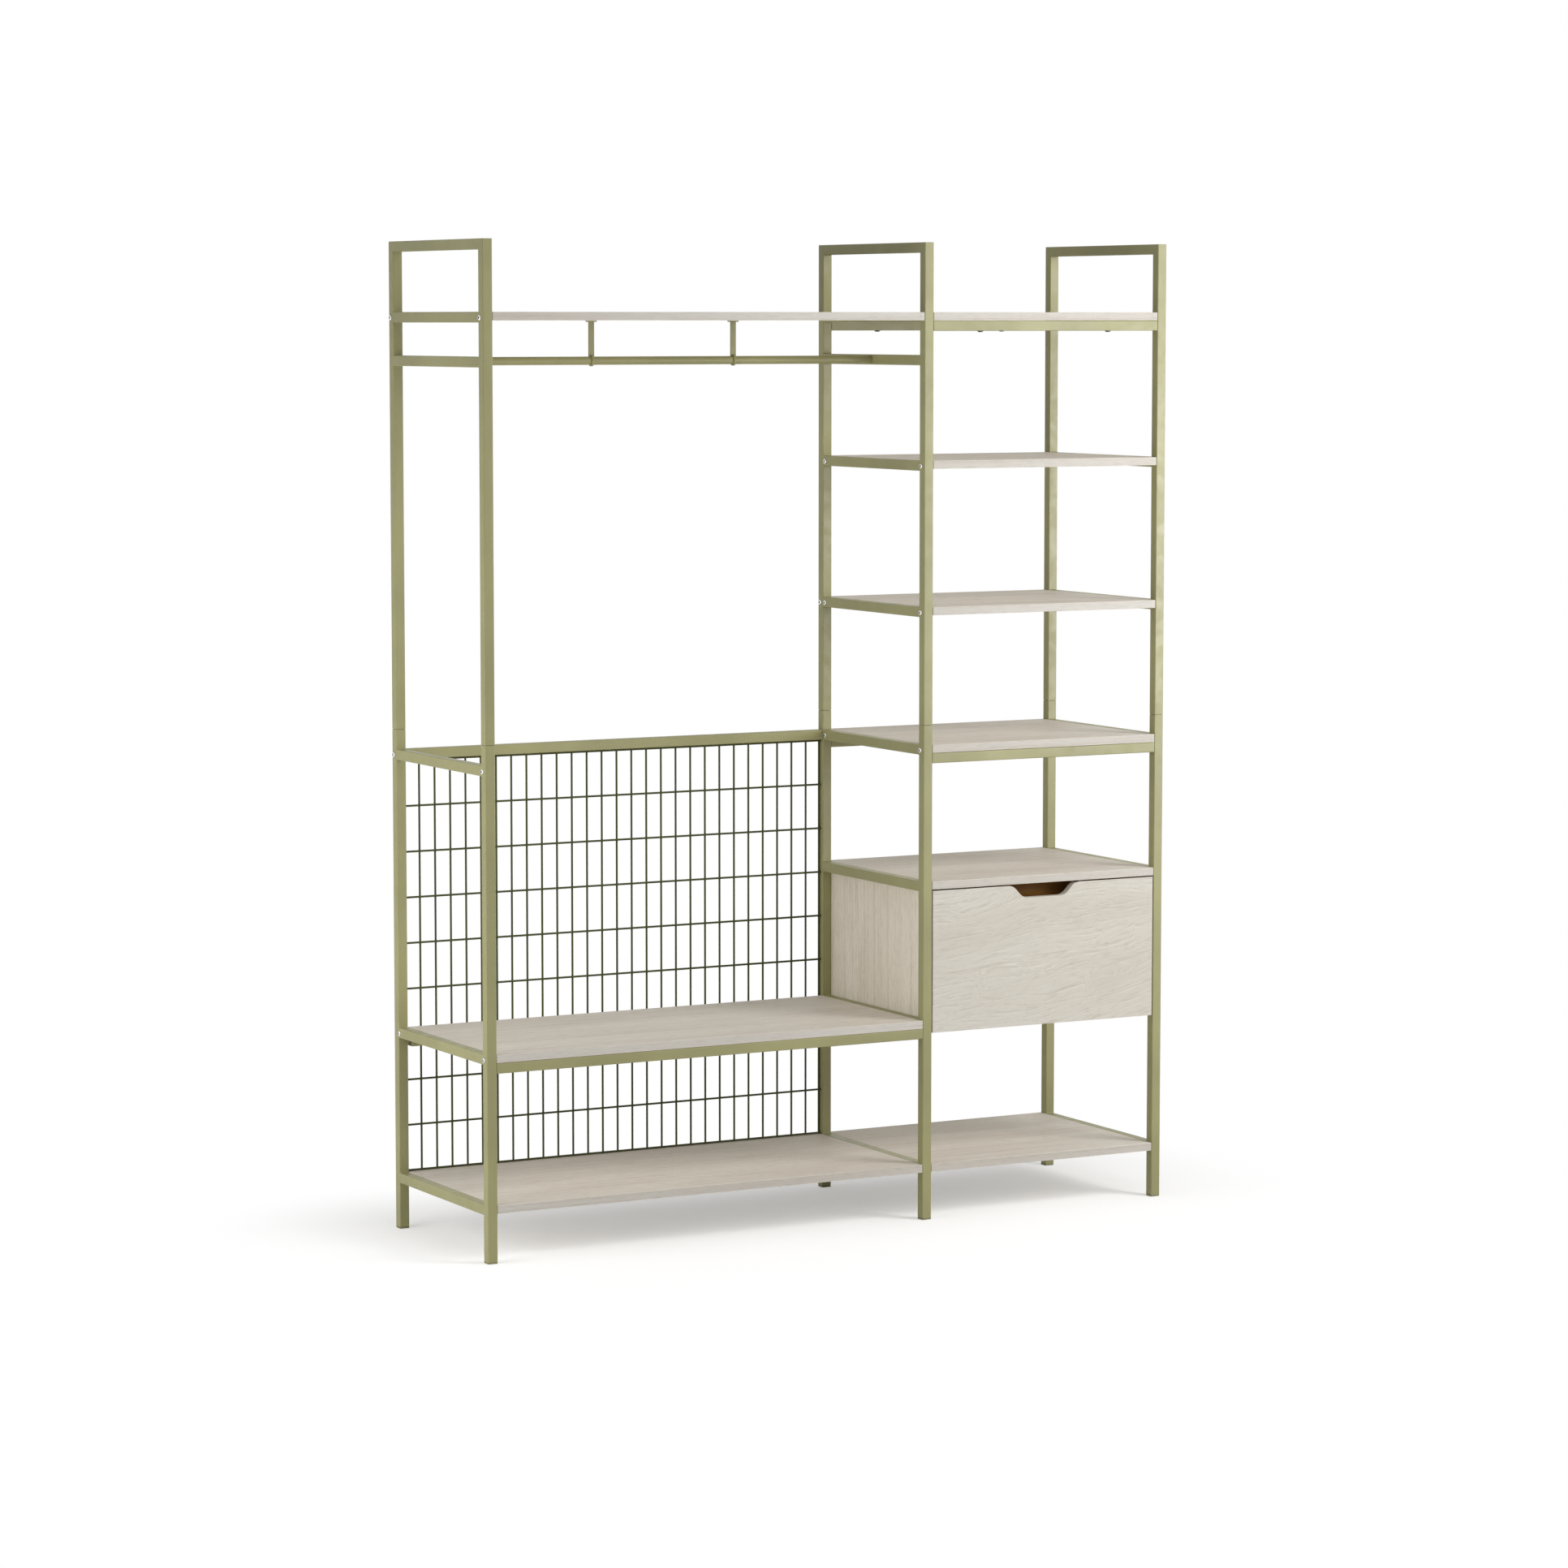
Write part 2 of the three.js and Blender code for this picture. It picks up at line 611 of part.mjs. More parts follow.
// The notch falls from the top edge in an S on either side of a flat floor.
function frontOutline() {
  const left = rightBay.start - FIT + FRONT_SIDE_GAP;
  const right = rightBay.end + FIT - FRONT_SIDE_GAP;
  const centre = (left + right) / 2;
  const floor = frontTop - NOTCH_DEPTH;
  const outer = NOTCH_WIDTH / 2;
  const inner = NOTCH_FLOOR / 2;
  const shape = new THREE.Shape();
  shape.moveTo(left, FRONT_BOTTOM);
  shape.lineTo(right, FRONT_BOTTOM);
  shape.lineTo(right, frontTop);
  shape.lineTo(centre + outer, frontTop);
  shape.bezierCurveTo(
    centre + outer - NOTCH_SWEEP, frontTop, centre + inner + NOTCH_SWEEP, floor, centre + inner, floor,
  );
  shape.lineTo(centre - inner, floor);
  shape.bezierCurveTo(
    centre - inner - NOTCH_SWEEP, floor, centre - outer + NOTCH_SWEEP, frontTop, centre - outer, frontTop,
  );
  shape.lineTo(left, frontTop);
  return shape;
}

function addDrawer() {
  const groove = boxGroove();
  const face = extrude(frontOutline(), 'y', front, frontRear, BOARD_EASE);
  addPiece('drawer_front', cut(face, groove), OAK);

  const side = rectangle(boxBounds.front, boxBounds.back, boxBounds.low, boxBounds.high);
  const sides = { drawer_side_left: boxBounds.left, drawer_side_right: boxInside.right };
  Object.entries(sides).forEach(([name, x]) => {
    addPiece(name, cut(extrude(side, 'x', x, x + BOX_WALL, BOX_EASE), groove), OAK);
  });

  const rear = rectangle(boxInside.left + FIT, boxInside.right - FIT, boxBounds.low, boxBounds.high);
  const panel = extrude(rear, 'y', boxBounds.back - BOX_WALL, boxBounds.back, BOX_EASE);
  addPiece('drawer_back', cut(panel, groove), OAK);

  const lip = BOX_GROOVE_DEPTH - FIT;
  addPiece('drawer_bottom', block(
    boxInside.left - lip, boxInside.right + lip, frontRear - lip, boxBounds.back - BOX_WALL + lip,
    grooveLow + FIT, grooveLow + FIT + BOX_BOTTOM,
  ), OAK);
}

// A channel of sheet steel whose web stands at the depth start. Both its flanges reach to the depth
// end, and a lip on each turns in to the height lip.
function channel(start, end, half, lip) {
  const inner = half - RUNNER_SHEET;
  const web = start + Math.sign(end - start) * RUNNER_SHEET;
  const rim = end - Math.sign(end - start) * RUNNER_SHEET;
  return [
    [start, -half], [end, -half], [end, -lip], [rim, -lip], [rim, -inner], [web, -inner],
    [web, inner], [rim, inner], [rim, lip], [end, lip], [end, half], [start, half],
  ];
}

// Depths run from the housing panel to the drawer side. Between each two channels lies a row of
// balls, and the lip of the outer one stops just short of the flange of the inner one.
const outerHalf = RUNNER_HEIGHT / 2;
const middleHalf = outerHalf - RUNNER_SHEET - RUNNER_BALL;
const innerHalf = middleHalf - RUNNER_SHEET - RUNNER_BALL;
const runnerChannels = {
  outer: channel(0, RUNNER_OUTER_DEPTH, outerHalf, middleHalf + RUNNER_LIP_GAP),
  middle: channel(
    RUNNER_MIDDLE_START,
    RUNNER_MIDDLE_START + RUNNER_MIDDLE_DEPTH,
    middleHalf,
    innerHalf + RUNNER_LIP_GAP,
  ),
  inner: channel(
    RUNNER_THICKNESS,
    RUNNER_THICKNESS - RUNNER_INNER_DEPTH,
    innerHalf,
    innerHalf - RUNNER_SHEET - RUNNER_LIP_GAP,
  ),
};

function addRunners() {
  const height = FRONT_BOTTOM + RUNNER_RISE;
  const start = housing.front + RUNNER_SETBACK;
  const faces = {
    left: { x: rightBay.start + BOARD + FIT, towards: 1 },
    right: { x: rightBay.end - BOARD - FIT, towards: -1 },
  };
  Object.entries(faces).forEach(([side, { x, towards }]) => {
    Object.entries(runnerChannels).forEach(([member, points]) => {
      const outline = polygon(points.map(([depth, z]) => [x + towards * depth, height + z]));
      const solid = extrude(outline, 'y', start, start + RUNNER_LENGTH);
      addPiece(`runner_${member}_${side}`, solid, STEEL);
    });
  });
}

addFrames();
addFeet();
addBoards();
addRails();
addMeshRail();
addMeshPanel();
addClothesRail();
addHangers();
addHousing();
addDrawer();
addRunners();
addBolts();

export default wardrobe;
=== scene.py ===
"""Open frame wardrobe of square steel tube and whitewashed oak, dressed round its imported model.

Everything is in metres, with Z up and the front facing -Y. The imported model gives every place: a new piece takes its
box from the node that it replaces, and adds what the node leaves out, such as round corners, welds, screws and balls.
"""

import math

import bmesh
import bpy
import numpy as np
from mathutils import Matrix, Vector


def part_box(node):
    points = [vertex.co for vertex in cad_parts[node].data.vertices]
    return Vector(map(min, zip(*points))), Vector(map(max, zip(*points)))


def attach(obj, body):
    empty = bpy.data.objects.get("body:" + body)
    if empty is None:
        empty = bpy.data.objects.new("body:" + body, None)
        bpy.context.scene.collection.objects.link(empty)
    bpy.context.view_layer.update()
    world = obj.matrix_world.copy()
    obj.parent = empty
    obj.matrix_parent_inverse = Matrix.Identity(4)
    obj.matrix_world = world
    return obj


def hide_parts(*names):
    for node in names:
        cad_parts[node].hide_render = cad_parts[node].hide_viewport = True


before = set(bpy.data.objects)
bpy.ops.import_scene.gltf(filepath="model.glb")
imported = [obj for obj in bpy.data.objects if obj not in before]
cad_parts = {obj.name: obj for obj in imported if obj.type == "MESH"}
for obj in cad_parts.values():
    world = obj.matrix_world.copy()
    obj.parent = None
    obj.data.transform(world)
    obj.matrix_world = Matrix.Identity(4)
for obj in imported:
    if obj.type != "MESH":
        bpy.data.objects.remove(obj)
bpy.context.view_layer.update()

MM = 0.001

# Square tube
TUBE = 20 * MM
TUBE_CORNER = 1.7 * MM
TUBE_WALL = 1.5 * MM
BORE_CORNER = 0.5 * MM
TUBE_STEPS = 5
RIM_EASE = 0.25 * MM
MITRE_EASE = 0.9 * MM

# Joints of the frames
BAR_INSET = 0.02 * MM
BAR_REACH = 2.2 * MM
SEAM_GAP = 0.8 * MM
SLEEVE_SIDE = 16.4 * MM
SLEEVE_REACH = 38 * MM
SLEEVE_STEPS = 2
PIN_RADIUS = 6.2 * MM
PIN_SIDES = 24
PIN_START = 0.45 * TUBE

# Weld beads, whose ends and buried root are shares of the leg
WELD_LEG = 1.7 * MM
HOOP_WELD_LEG = 0.8 * WELD_LEG
WELD_LENGTH = TUBE - 2 * TUBE_CORNER
WELD_RIPPLE = 0.07 * MM
WELD_PITCH = 1.6 * MM
WELD_RINGS = 6
WELD_RINGS_LEAST = 8
WELD_POINTS = 6
WELD_END = 0.55
WELD_ROOT = 0.25

# Boards
BOARD_EASE = 0.7 * MM
BOARD_CORNER = 1.0 * MM
BOARD_STEPS = 4
BAND_LINE = 0.12 * MM
BAND_LINE_PLACES = np.array([0.15, 0.3]) * MM

# Points of one piece closer than this are one point
SAME_POINT = 1e-7


def node_box(name):
    """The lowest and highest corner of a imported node, as arrays."""
    low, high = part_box(name)
    return np.array(low), np.array(high)


def node_sizes(name):
    """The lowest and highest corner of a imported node, its size and its centre."""
    low, high = node_box(name)
    return low, high, high - low, (low + high) / 2


# Outlines

def unit(vectors):
    """Each vector divided by its length."""
    vectors = np.asarray(vectors, float)
    return vectors / np.linalg.norm(vectors, axis=-1, keepdims=True)


def rounded_rectangle(width, height, radius, steps=3):
    """An outline of four quarter circles, counter-clockwise: each corner point is the centre of its corner plus the
    radius at an angle that runs on through all four quarters."""
    quarter = np.arange(4)[:, None] * np.pi / 2
    angle = quarter + np.linspace(0, np.pi / 2, steps + 1)[None]
    across = np.sign(np.cos(quarter + np.pi / 4)) * (width / 2 - radius) + radius * np.cos(angle)
    up = np.sign(np.sin(quarter + np.pi / 4)) * (height / 2 - radius) + radius * np.sin(angle)
    return np.stack([across.ravel(), up.ravel()], -1)


def circle(radius, sides):
    """Points at equal angles on a circle, counter-clockwise."""
    angle = np.linspace(0, 2 * np.pi, sides, endpoint=False)
    return radius * np.stack([np.cos(angle), np.sin(angle)], -1)


def arc(centre_r, centre_h, radius, start, end, steps=3):
    """Points (radius, height) of an arc from start to end degrees: the centre plus the radius times cosine and
    sine."""
    angle = np.radians(np.linspace(start, end, steps + 1))
    return np.stack([centre_r + radius * np.cos(angle), centre_h + radius * np.sin(angle)], -1)


# The square tube outside and inside, and the crossbar, which is a little narrower than the posts
TUBE_OUTSIDE = rounded_rectangle(TUBE, TUBE, TUBE_CORNER, TUBE_STEPS)
TUBE_INSIDE = rounded_rectangle(TUBE - 2 * TUBE_WALL, TUBE - 2 * TUBE_WALL, BORE_CORNER, TUBE_STEPS)
BAR_OUTSIDE = rounded_rectangle(TUBE - 2 * BAR_INSET, TUBE, TUBE_CORNER, TUBE_STEPS)


# Surfaces

def rings(section, path, side, scales=None):
    """A section carried along a straight-legged path. Ring k is path point k, plus the section's first coordinate
    along side and its second along the normal of the leg in side's plane, slid along the leg on to the plane that
    halves the angle with the next leg. scales widens or narrows each ring."""
    path = np.asarray(path, float)
    side = unit(side)
    legs = unit(np.diff(path, axis=0))
    before = np.concatenate([legs[:1], legs])
    after = np.concatenate([legs, legs[-1:]])
    mitre = unit(before + after)
    normal = np.cross(side, before)
    sizes = np.ones(len(path)) if scales is None else np.asarray(scales, float)
    offset = sizes[:, None, None] * (section[None, :, :1] * side + section[None, :, 1:] * normal[:, None])
    slide = -(offset * mitre[:, None]).sum(-1) / (before * mitre).sum(-1)[:, None]
    return path[:, None] + offset + slide[..., None] * before[:, None]


def turned(profile, sides, centre, axis):
    """A profile of (radius, height) turned about an axis through centre. Rings flagged with a third value of 1 are
    hexagons: their radius is divided by the cosine of the angle from the middle of the nearest flat."""
    profile = np.asarray(profile, float)
    angle = np.linspace(0, 2 * np.pi, sides, endpoint=False)
    sector = (angle + np.pi / 6) % (np.pi / 3) - np.pi / 6
    hexagon = profile[:, 2:3] if profile.shape[1] > 2 else np.zeros((len(profile), 1))
    radius = profile[:, :1] * np.where(hexagon > 0, 1 / np.cos(sector)[None], 1.0)
    axis = unit(axis)
    first = unit(np.cross(axis, [0.0, 0.0, 1.0] if abs(axis[2]) < 0.9 else [1.0, 0.0, 0.0]))
    second = np.cross(axis, first)
    round_part = np.cos(angle)[:, None] * first + np.sin(angle)[:, None] * second
    return np.asarray(centre) + radius[..., None] * round_part[None] + profile[:, 1:2, None] * axis


def shell(grid, closed=False, finish=0, cap_finish=0):
    """Quads between each ring of a grid and the next, every ring closed on itself. closed joins the last ring to the
    first, and otherwise a face closes each end. finish is the quads' material number, the same for all or one a row.
    Returns points, faces and each face's material number."""
    count, around = grid.shape[:2]
    rows = np.arange(count if closed else count - 1)
    here = rows[:, None] * around + np.arange(around)[None]
    there = (rows[:, None] + 1) % count * around + np.arange(around)[None]
    quads = np.stack([here, np.roll(here, -1, 1), np.roll(there, -1, 1), there], -1).reshape(-1, 4)
    faces, numbers = quads.tolist(), np.repeat(np.broadcast_to(finish, len(rows)), around).tolist()
    if not closed:
        last = (count - 1) * around
        faces += [list(range(around))[::-1], list(range(last, last + around))]
        numbers += [cap_finish] * 2
    return grid.reshape(-1, 3), faces, numbers


def tube(path, side, section, wall_section=None, ease=RIM_EASE):
    """A tube along a path. Its rims are eased: the end rings are drawn in, just past full rings. With a wall
    section the tube is hollow, and its inner rings run back to the first rim; without one its ends are closed."""
    path = np.asarray(path, float)
    reach = np.abs(section).max()
    first = path[0] + ease * unit(path[1] - path[0])
    last = path[-1] + ease * unit(path[-2] - path[-1])
    eased = np.concatenate([path[:1], [first], path[1:-1], [last], path[-1:]])
    scales = np.ones(len(eased))
    scales[[0, -1]] = 1 - ease / reach
    outer = rings(section, eased, side, scales)
    if wall_section is None:
        return shell(outer)
    inner = rings(wall_section, eased, side)
    return shell(np.concatenate([outer, inner[::-1]]), closed=True)


def slab(outline, axis, low, high, ease, steps=3, band=0, line=0.0):
    """A flat piece: an outline carried along an axis, its edges rounded by quarter circles. At angle t the outline
    is drawn in by ease times one minus cos t and stands ease times one minus sin t inside the end face. band is the
    material number of the edge, and line is the depth of the fine joint where the edge band meets the faces."""
    outline = np.asarray(outline, float)
    leg = unit(np.roll(outline, -1, 0) - outline)
    normal = np.stack([leg[:, 1], -leg[:, 0]], -1)
    before = np.roll(normal, 1, 0)
    outward = (normal + before) / (1 + (normal * before).sum(-1, keepdims=True))
    t = np.linspace(np.pi / 2, 0, steps + 1)
    inset = ease * (1 - np.cos(t))
    depth = ease * (1 - np.sin(t))
    drawn, heights = [inset, inset[::-1]], [low + depth, high - depth[::-1]]
    if line:
        drawn[1:1] = [[line, 0.0], [0.0, line]]
        heights[1:1] = [low + ease + BAND_LINE_PLACES, high - ease - BAND_LINE_PLACES[::-1]]
    drawn, heights = np.concatenate(drawn), np.concatenate(heights)
    flat = outline[None] - drawn[:, None, None] * outward[None]
    third = np.broadcast_to(heights[:, None, None], flat.shape[:2] + (1,))
    order = {"x": (2, 0, 1), "y": (0, 2, 1), "z": (0, 1, 2)}[axis]
    finish = np.zeros(len(drawn) - 1, int)
    finish[steps + 1:len(finish) - steps - 1] = band
    return shell(np.concatenate([flat, third], -1)[..., order], finish=finish)


def corner_rings(section, point, before, after, side, ease):
    """Three rings at a right-angled mitre. A section point lies in the plane that halves the corner, and its reach
    outwards is held to the full half side on one face and to that less ease on the other, so that the sharp outer
    edge becomes a narrow round."""
    normal = np.cross(side, before)
    turn = after @ normal
    inward = section[:, 1:] * turn
    full = np.abs(section[:, 1]).max()
    less, middle = full - ease, full - ease * (1 - math.cos(math.pi / 4))
    return [
        point + section[:, :1] * side + turn * np.maximum(inward, -across) * normal
        - np.maximum(inward, -along) * before
        for across, along in ((full, less), (middle, middle), (less, full))
    ]


def hoop(path, side, section, wall_section):
    """A hollow tube bent by mitres into an upside-down U: two rings at its first rim, three at each corner and two at
    its last rim, then the inner rings back to the first."""
    path, side = np.asarray(path, float), unit(side)
    legs = unit(np.diff(path, axis=0))
    rim = 1 - RIM_EASE / TUBE * 2
    start = rings(section, [path[0], path[0] + RIM_EASE * legs[0], path[1]], side, [rim, 1, 1])
    outer = list(start[:2])
    for k in range(1, len(path) - 1):
        outer += corner_rings(section, path[k], legs[k - 1], legs[k], side, MITRE_EASE)
    end = rings(section, [path[-2], path[-1] - RIM_EASE * legs[-1], path[-1]], side, [1, 1, rim])
    outer += list(end[1:])
    inner = rings(wall_section, path, side)
    return shell(np.concatenate([np.array(outer), inner[::-1]]), closed=True)


def fillet(corner, row_way, up_way, length=WELD_LENGTH, leg=WELD_LEG):
    """A weld bead along X in an inner corner: a hollow quarter circle between a leg along Y and one along Z, each 1
    or -1 times that axis. The legs swell and shrink with a cosine of one weld pitch."""
    place = np.linspace(-length / 2, length / 2, max(int(length / WELD_PITCH * WELD_RINGS), WELD_RINGS_LEAST))
    size = leg + WELD_RIPPLE * np.cos(2 * np.pi * place / WELD_PITCH)
    size[[0, -1]] = WELD_END * leg
    angle = np.linspace(0, np.pi / 2, WELD_POINTS)
    hollow = np.stack([1 - np.sin(angle), 1 - np.cos(angle)], -1)
    profile = np.concatenate([hollow, [[-WELD_ROOT, -WELD_ROOT]]])
    flat = size[:, None, None] * profile[None] * [row_way, up_way]
    along = np.broadcast_to(place[:, None, None], flat.shape[:2] + (1,))
    return shell(np.array(corner) + np.concatenate([along, flat], -1))


def placed(name, data):
    """A new object in the scene, made of a mesh, a lamp's data or a camera's."""
    made = bpy.data.objects.new(name, data)
    bpy.context.scene.collection.objects.link(made)
    return made


def piece(name, shells, materials, body="frame", replaces=(), smooth=38, normals=True):
    """One object made of closed shells, its faces turned outwards. Edges sharper than smooth degrees stay sharp, and
    weighted normals keep flat faces flat."""
    points, faces, numbers, start = [], [], [], 0
    for shell_points, shell_faces, shell_numbers in shells:
        points.append(shell_points)
        faces += [[start + i for i in face] for face in shell_faces]
        numbers += shell_numbers
        start += len(shell_points)
    mesh = bpy.data.meshes.new(name)
    mesh.from_pydata(np.concatenate(points).tolist(), [], faces)
    mesh.polygons.foreach_set("material_index", np.array(numbers, np.int32))
    work = bmesh.new()
    work.from_mesh(mesh)
    bmesh.ops.remove_doubles(work, verts=work.verts, dist=SAME_POINT)
    bmesh.ops.recalc_face_normals(work, faces=work.faces)
    work.to_mesh(mesh)
    work.free()
    mesh.polygons.foreach_set("use_smooth", np.ones(len(mesh.polygons), bool))
    mesh.set_sharp_from_angle(angle=math.radians(smooth))
    for material in materials:
        mesh.materials.append(material)
    made = placed(name, mesh)
    if normals:
        weighted = made.modifiers.new("flat faces", "WEIGHTED_NORMAL")
        weighted.keep_sharp = True
    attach(made, body)
    if replaces:
        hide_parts(*replaces)
    return made


# Material nodes

# Between which values most of a noise lies
NOISE_SPAN = (0.3, 0.7)


def srgb(red, green, blue):
    """A colour of 0 to 255 levels as linear red, green, blue and full alpha."""
    level = np.array([red, green, blue]) / 255
    linear = np.where(level <= 0.04045, level / 12.92, ((level + 0.055) / 1.055) ** 2.4)
    return (*linear.tolist(), 1.0)


def add(tree, kind, inputs=(), **settings):
    """A node with its settings, each input given a value or linked to another node's socket."""
    node = tree.nodes.new("ShaderNode" + kind)
    for setting, value in settings.items():
        setattr(node, setting, value)
    for socket, value in dict(inputs).items():
        if isinstance(value, bpy.types.NodeSocket):
            tree.links.new(value, node.inputs[socket])
        else:
            node.inputs[socket].default_value = value
    return node


def new_material(name, **sockets):
    """A material, its node tree and every point's place on the object in metres, with constants set on the shader's
    own sockets."""
    material = bpy.data.materials.new(name)
    material.use_nodes = True
    tree = material.node_tree
    for socket, value in sockets.items():
        tree.nodes["Principled BSDF"].inputs[socket.replace("_", " ")].default_value = value
    return material, tree, add(tree, "TexCoord").outputs["Object"]


def math_node(tree, operation, first, second, clamp=False):
    """One operation on two values, held between 0 and 1 by clamp."""
    return add(tree, "Math", {0: first, 1: second}, operation=operation, use_clamp=clamp).outputs[0]


def product(tree, first, second):
    """One value times another."""
    return math_node(tree, "MULTIPLY", first, second)


def vector_node(tree, operation, first, second=(0, 0, 0)):
    """One operation on two vectors."""
    return add(tree, "VectorMath", {0: first, 1: second}, operation=operation)


def stretched(tree, vector, *scales):
    """A vector with each axis scaled, so that a pattern runs longer along the grain."""
    return vector_node(tree, "MULTIPLY", vector, scales).outputs[0]


def noise(tree, vector, scale, detail=2.0, roughness=0.5):
    """Soft noise round 0.5 that turns over scale times a metre."""
    inputs = {"Vector": vector, "Scale": scale, "Detail": detail, "Roughness": roughness}
    return add(tree, "TexNoise", inputs).outputs["Fac"]


def ramp(tree, value, low, high, to_low=0.0, to_high=1.0):
    """A smooth step, 3 t squared less 2 t cubed, that leads from to_low to to_high as value goes from low to high."""
    inputs = {"Value": value, "From Min": low, "From Max": high, "To Min": to_low, "To Max": to_high}
    return add(tree, "MapRange", inputs, interpolation_type="SMOOTHSTEP").outputs[0]


def blended(tree, share, first, second):
    """A colour that leads from the first to the second as share goes from 0 to 1."""
    return add(tree, "Mix", {0: share, 6: first, 7: second}, data_type="RGBA").outputs[2]


def swing(tree, pattern, low=0.0, high=1.0):
    """Noise spread out so that it swings from low to high."""
    return ramp(tree, pattern, *NOISE_SPAN, low, high)


def drifting(tree, pattern, colour, low, high):
    """A colour whose levels drift from low to high times their own, with a noise."""
    first, second = (srgb(*np.multiply(colour, share)) for share in (low, high))
    return blended(tree, swing(tree, pattern), first, second)


def shade(tree, colour, roughness, height, rise, strength=1.0):
    """Leads a colour, a roughness and a relief to the shader. The relief tilts the normal by the slope of a height of
    0 to 1, whose full rise is given."""
    relief = add(tree, "Bump", {"Height": height, "Distance": rise, "Strength": strength}).outputs[0]
    for socket, value in (("Base Color", colour), ("Roughness", roughness), ("Normal", relief)):
        tree.links.new(value, tree.nodes["Principled BSDF"].inputs[socket])


# Finishes

# How often each pattern turns over in a metre
COAT_TONE_TURNS, CLOUD_TURNS, PEEL_TURNS, GRIT_TURNS = 5.0, 45.0, 620.0, 2600.0
STEEL_TONE_TURNS, FELT_TONE_TURNS, FELT_TURNS = 160.0, 60.0, 1900.0

# How far tones drift, and the heights of the reliefs
COAT_DRIFT = 0.035
DARKER = 0.9
GRIT_SHARE = 0.25
PEEL_RISE = 0.06 * MM
MARK_RISE = 0.012 * MM
FINE_RISE = 0.04 * MM


def powder_coat(name, colour, gloss, shine):
    """Powder coat: a faint orange peel about 1.5 mm across, finer grit, and slow drifts of tone and gloss. gloss is
    the shader's roughness and shine its specular level."""
    material, tree, place = new_material(name, Roughness=gloss, IOR=1.5, Specular_IOR_Level=shine)
    tone = drifting(tree, noise(tree, place, COAT_TONE_TURNS, 3.0), colour, 1 - COAT_DRIFT, 1 + COAT_DRIFT)
    cloud = swing(tree, noise(tree, place, CLOUD_TURNS, 3.0), gloss - 0.05, gloss + 0.06)
    peel, grit = noise(tree, place, PEEL_TURNS, roughness=0.45), noise(tree, place, GRIT_TURNS, detail=1.0)
    shade(tree, tone, cloud, math_node(tree, "ADD", peel, product(tree, grit, GRIT_SHARE)), PEEL_RISE, strength=0.8)
    return material


# Tones of the washed oak, in levels of 0 to 255
OAK_LIGHT = (216, 211, 202)
OAK_GROUND = (207, 200, 190)
OAK_LATE = (186, 177, 163)
OAK_PORE = (158, 146, 130)
# Tone of the painted highlight beside the year lines
OAK_HIGHLIGHT = (232, 228, 220)
OAK_LEVEL_MOST = 250
OAK_RISE = 0.09 * MM

# How often the grain's patterns turn over in a metre, along the grain and across it
BEND_TURNS = (2.6, 7.0, 7.0)
TONE_TURNS = (1.3, 11.0)
YEAR_TURNS = (1.1, 125.0)
FIBRE_TURNS = (32.0, 430.0)
PORE_TURNS = (62.0, 1150.0)

# Noise values between which a year line and a streak rise, where pores begin beside and in a year line, how sharply
YEAR_STEP, STREAK_STEP = (0.5, 0.72), (0.48, 0.70)
PORE_BEGINS = (0.63, 0.57)
PORE_SHARPNESS = 9.0

# The span of a point's slide across the grain at a flow of 1, and each pattern's share in the colour and the relief
BEND_SLIDE = 0.05
YEAR_SHARE, FIBRE_SHARE, PORE_SHARE = 0.42, 0.5, 0.5
# How far across the grain the painted highlight's year line is drawn from
HIGHLIGHT_OFFSET = 2.2 * MM
FIBRE_HEIGHT, YEAR_HEIGHT = 0.6, 0.3

# Where an arch's push begins before its tip and is full behind it, in widths of the arch
ARCH_BEGINS, ARCH_FULL = 0.6, 1.6


def arched(tree, place, arches):
    """How far nested arches push the grain across itself: the sum of height times a quick smooth step at the arch's
    tip, times a slow one that ends it after its reach, times the bell exp(-((across - level) / width)^2). Inside an
    arch the push changes faster than the place, so year lines turn round its tip in hairpins."""
    along, across, _ = add(tree, "SeparateXYZ", {0: place}).outputs
    total = 0.0
    for tip, level, reach, width, height in arches:
        begin = ramp(tree, along, tip - ARCH_BEGINS * width, tip + ARCH_FULL * width)
        lasting = product(tree, begin, ramp(tree, along, tip + width, tip + reach, 1.0, 0.0))
        off = math_node(tree, "DIVIDE", math_node(tree, "SUBTRACT", across, level), width)
        bell = math_node(tree, "POWER", math.e, product(tree, product(tree, off, off), -1.0))
        total = math_node(tree, "ADD", total, product(tree, product(tree, lasting, bell), height))
    return add(tree, "CombineXYZ", {1: total, 2: total}).outputs[0]


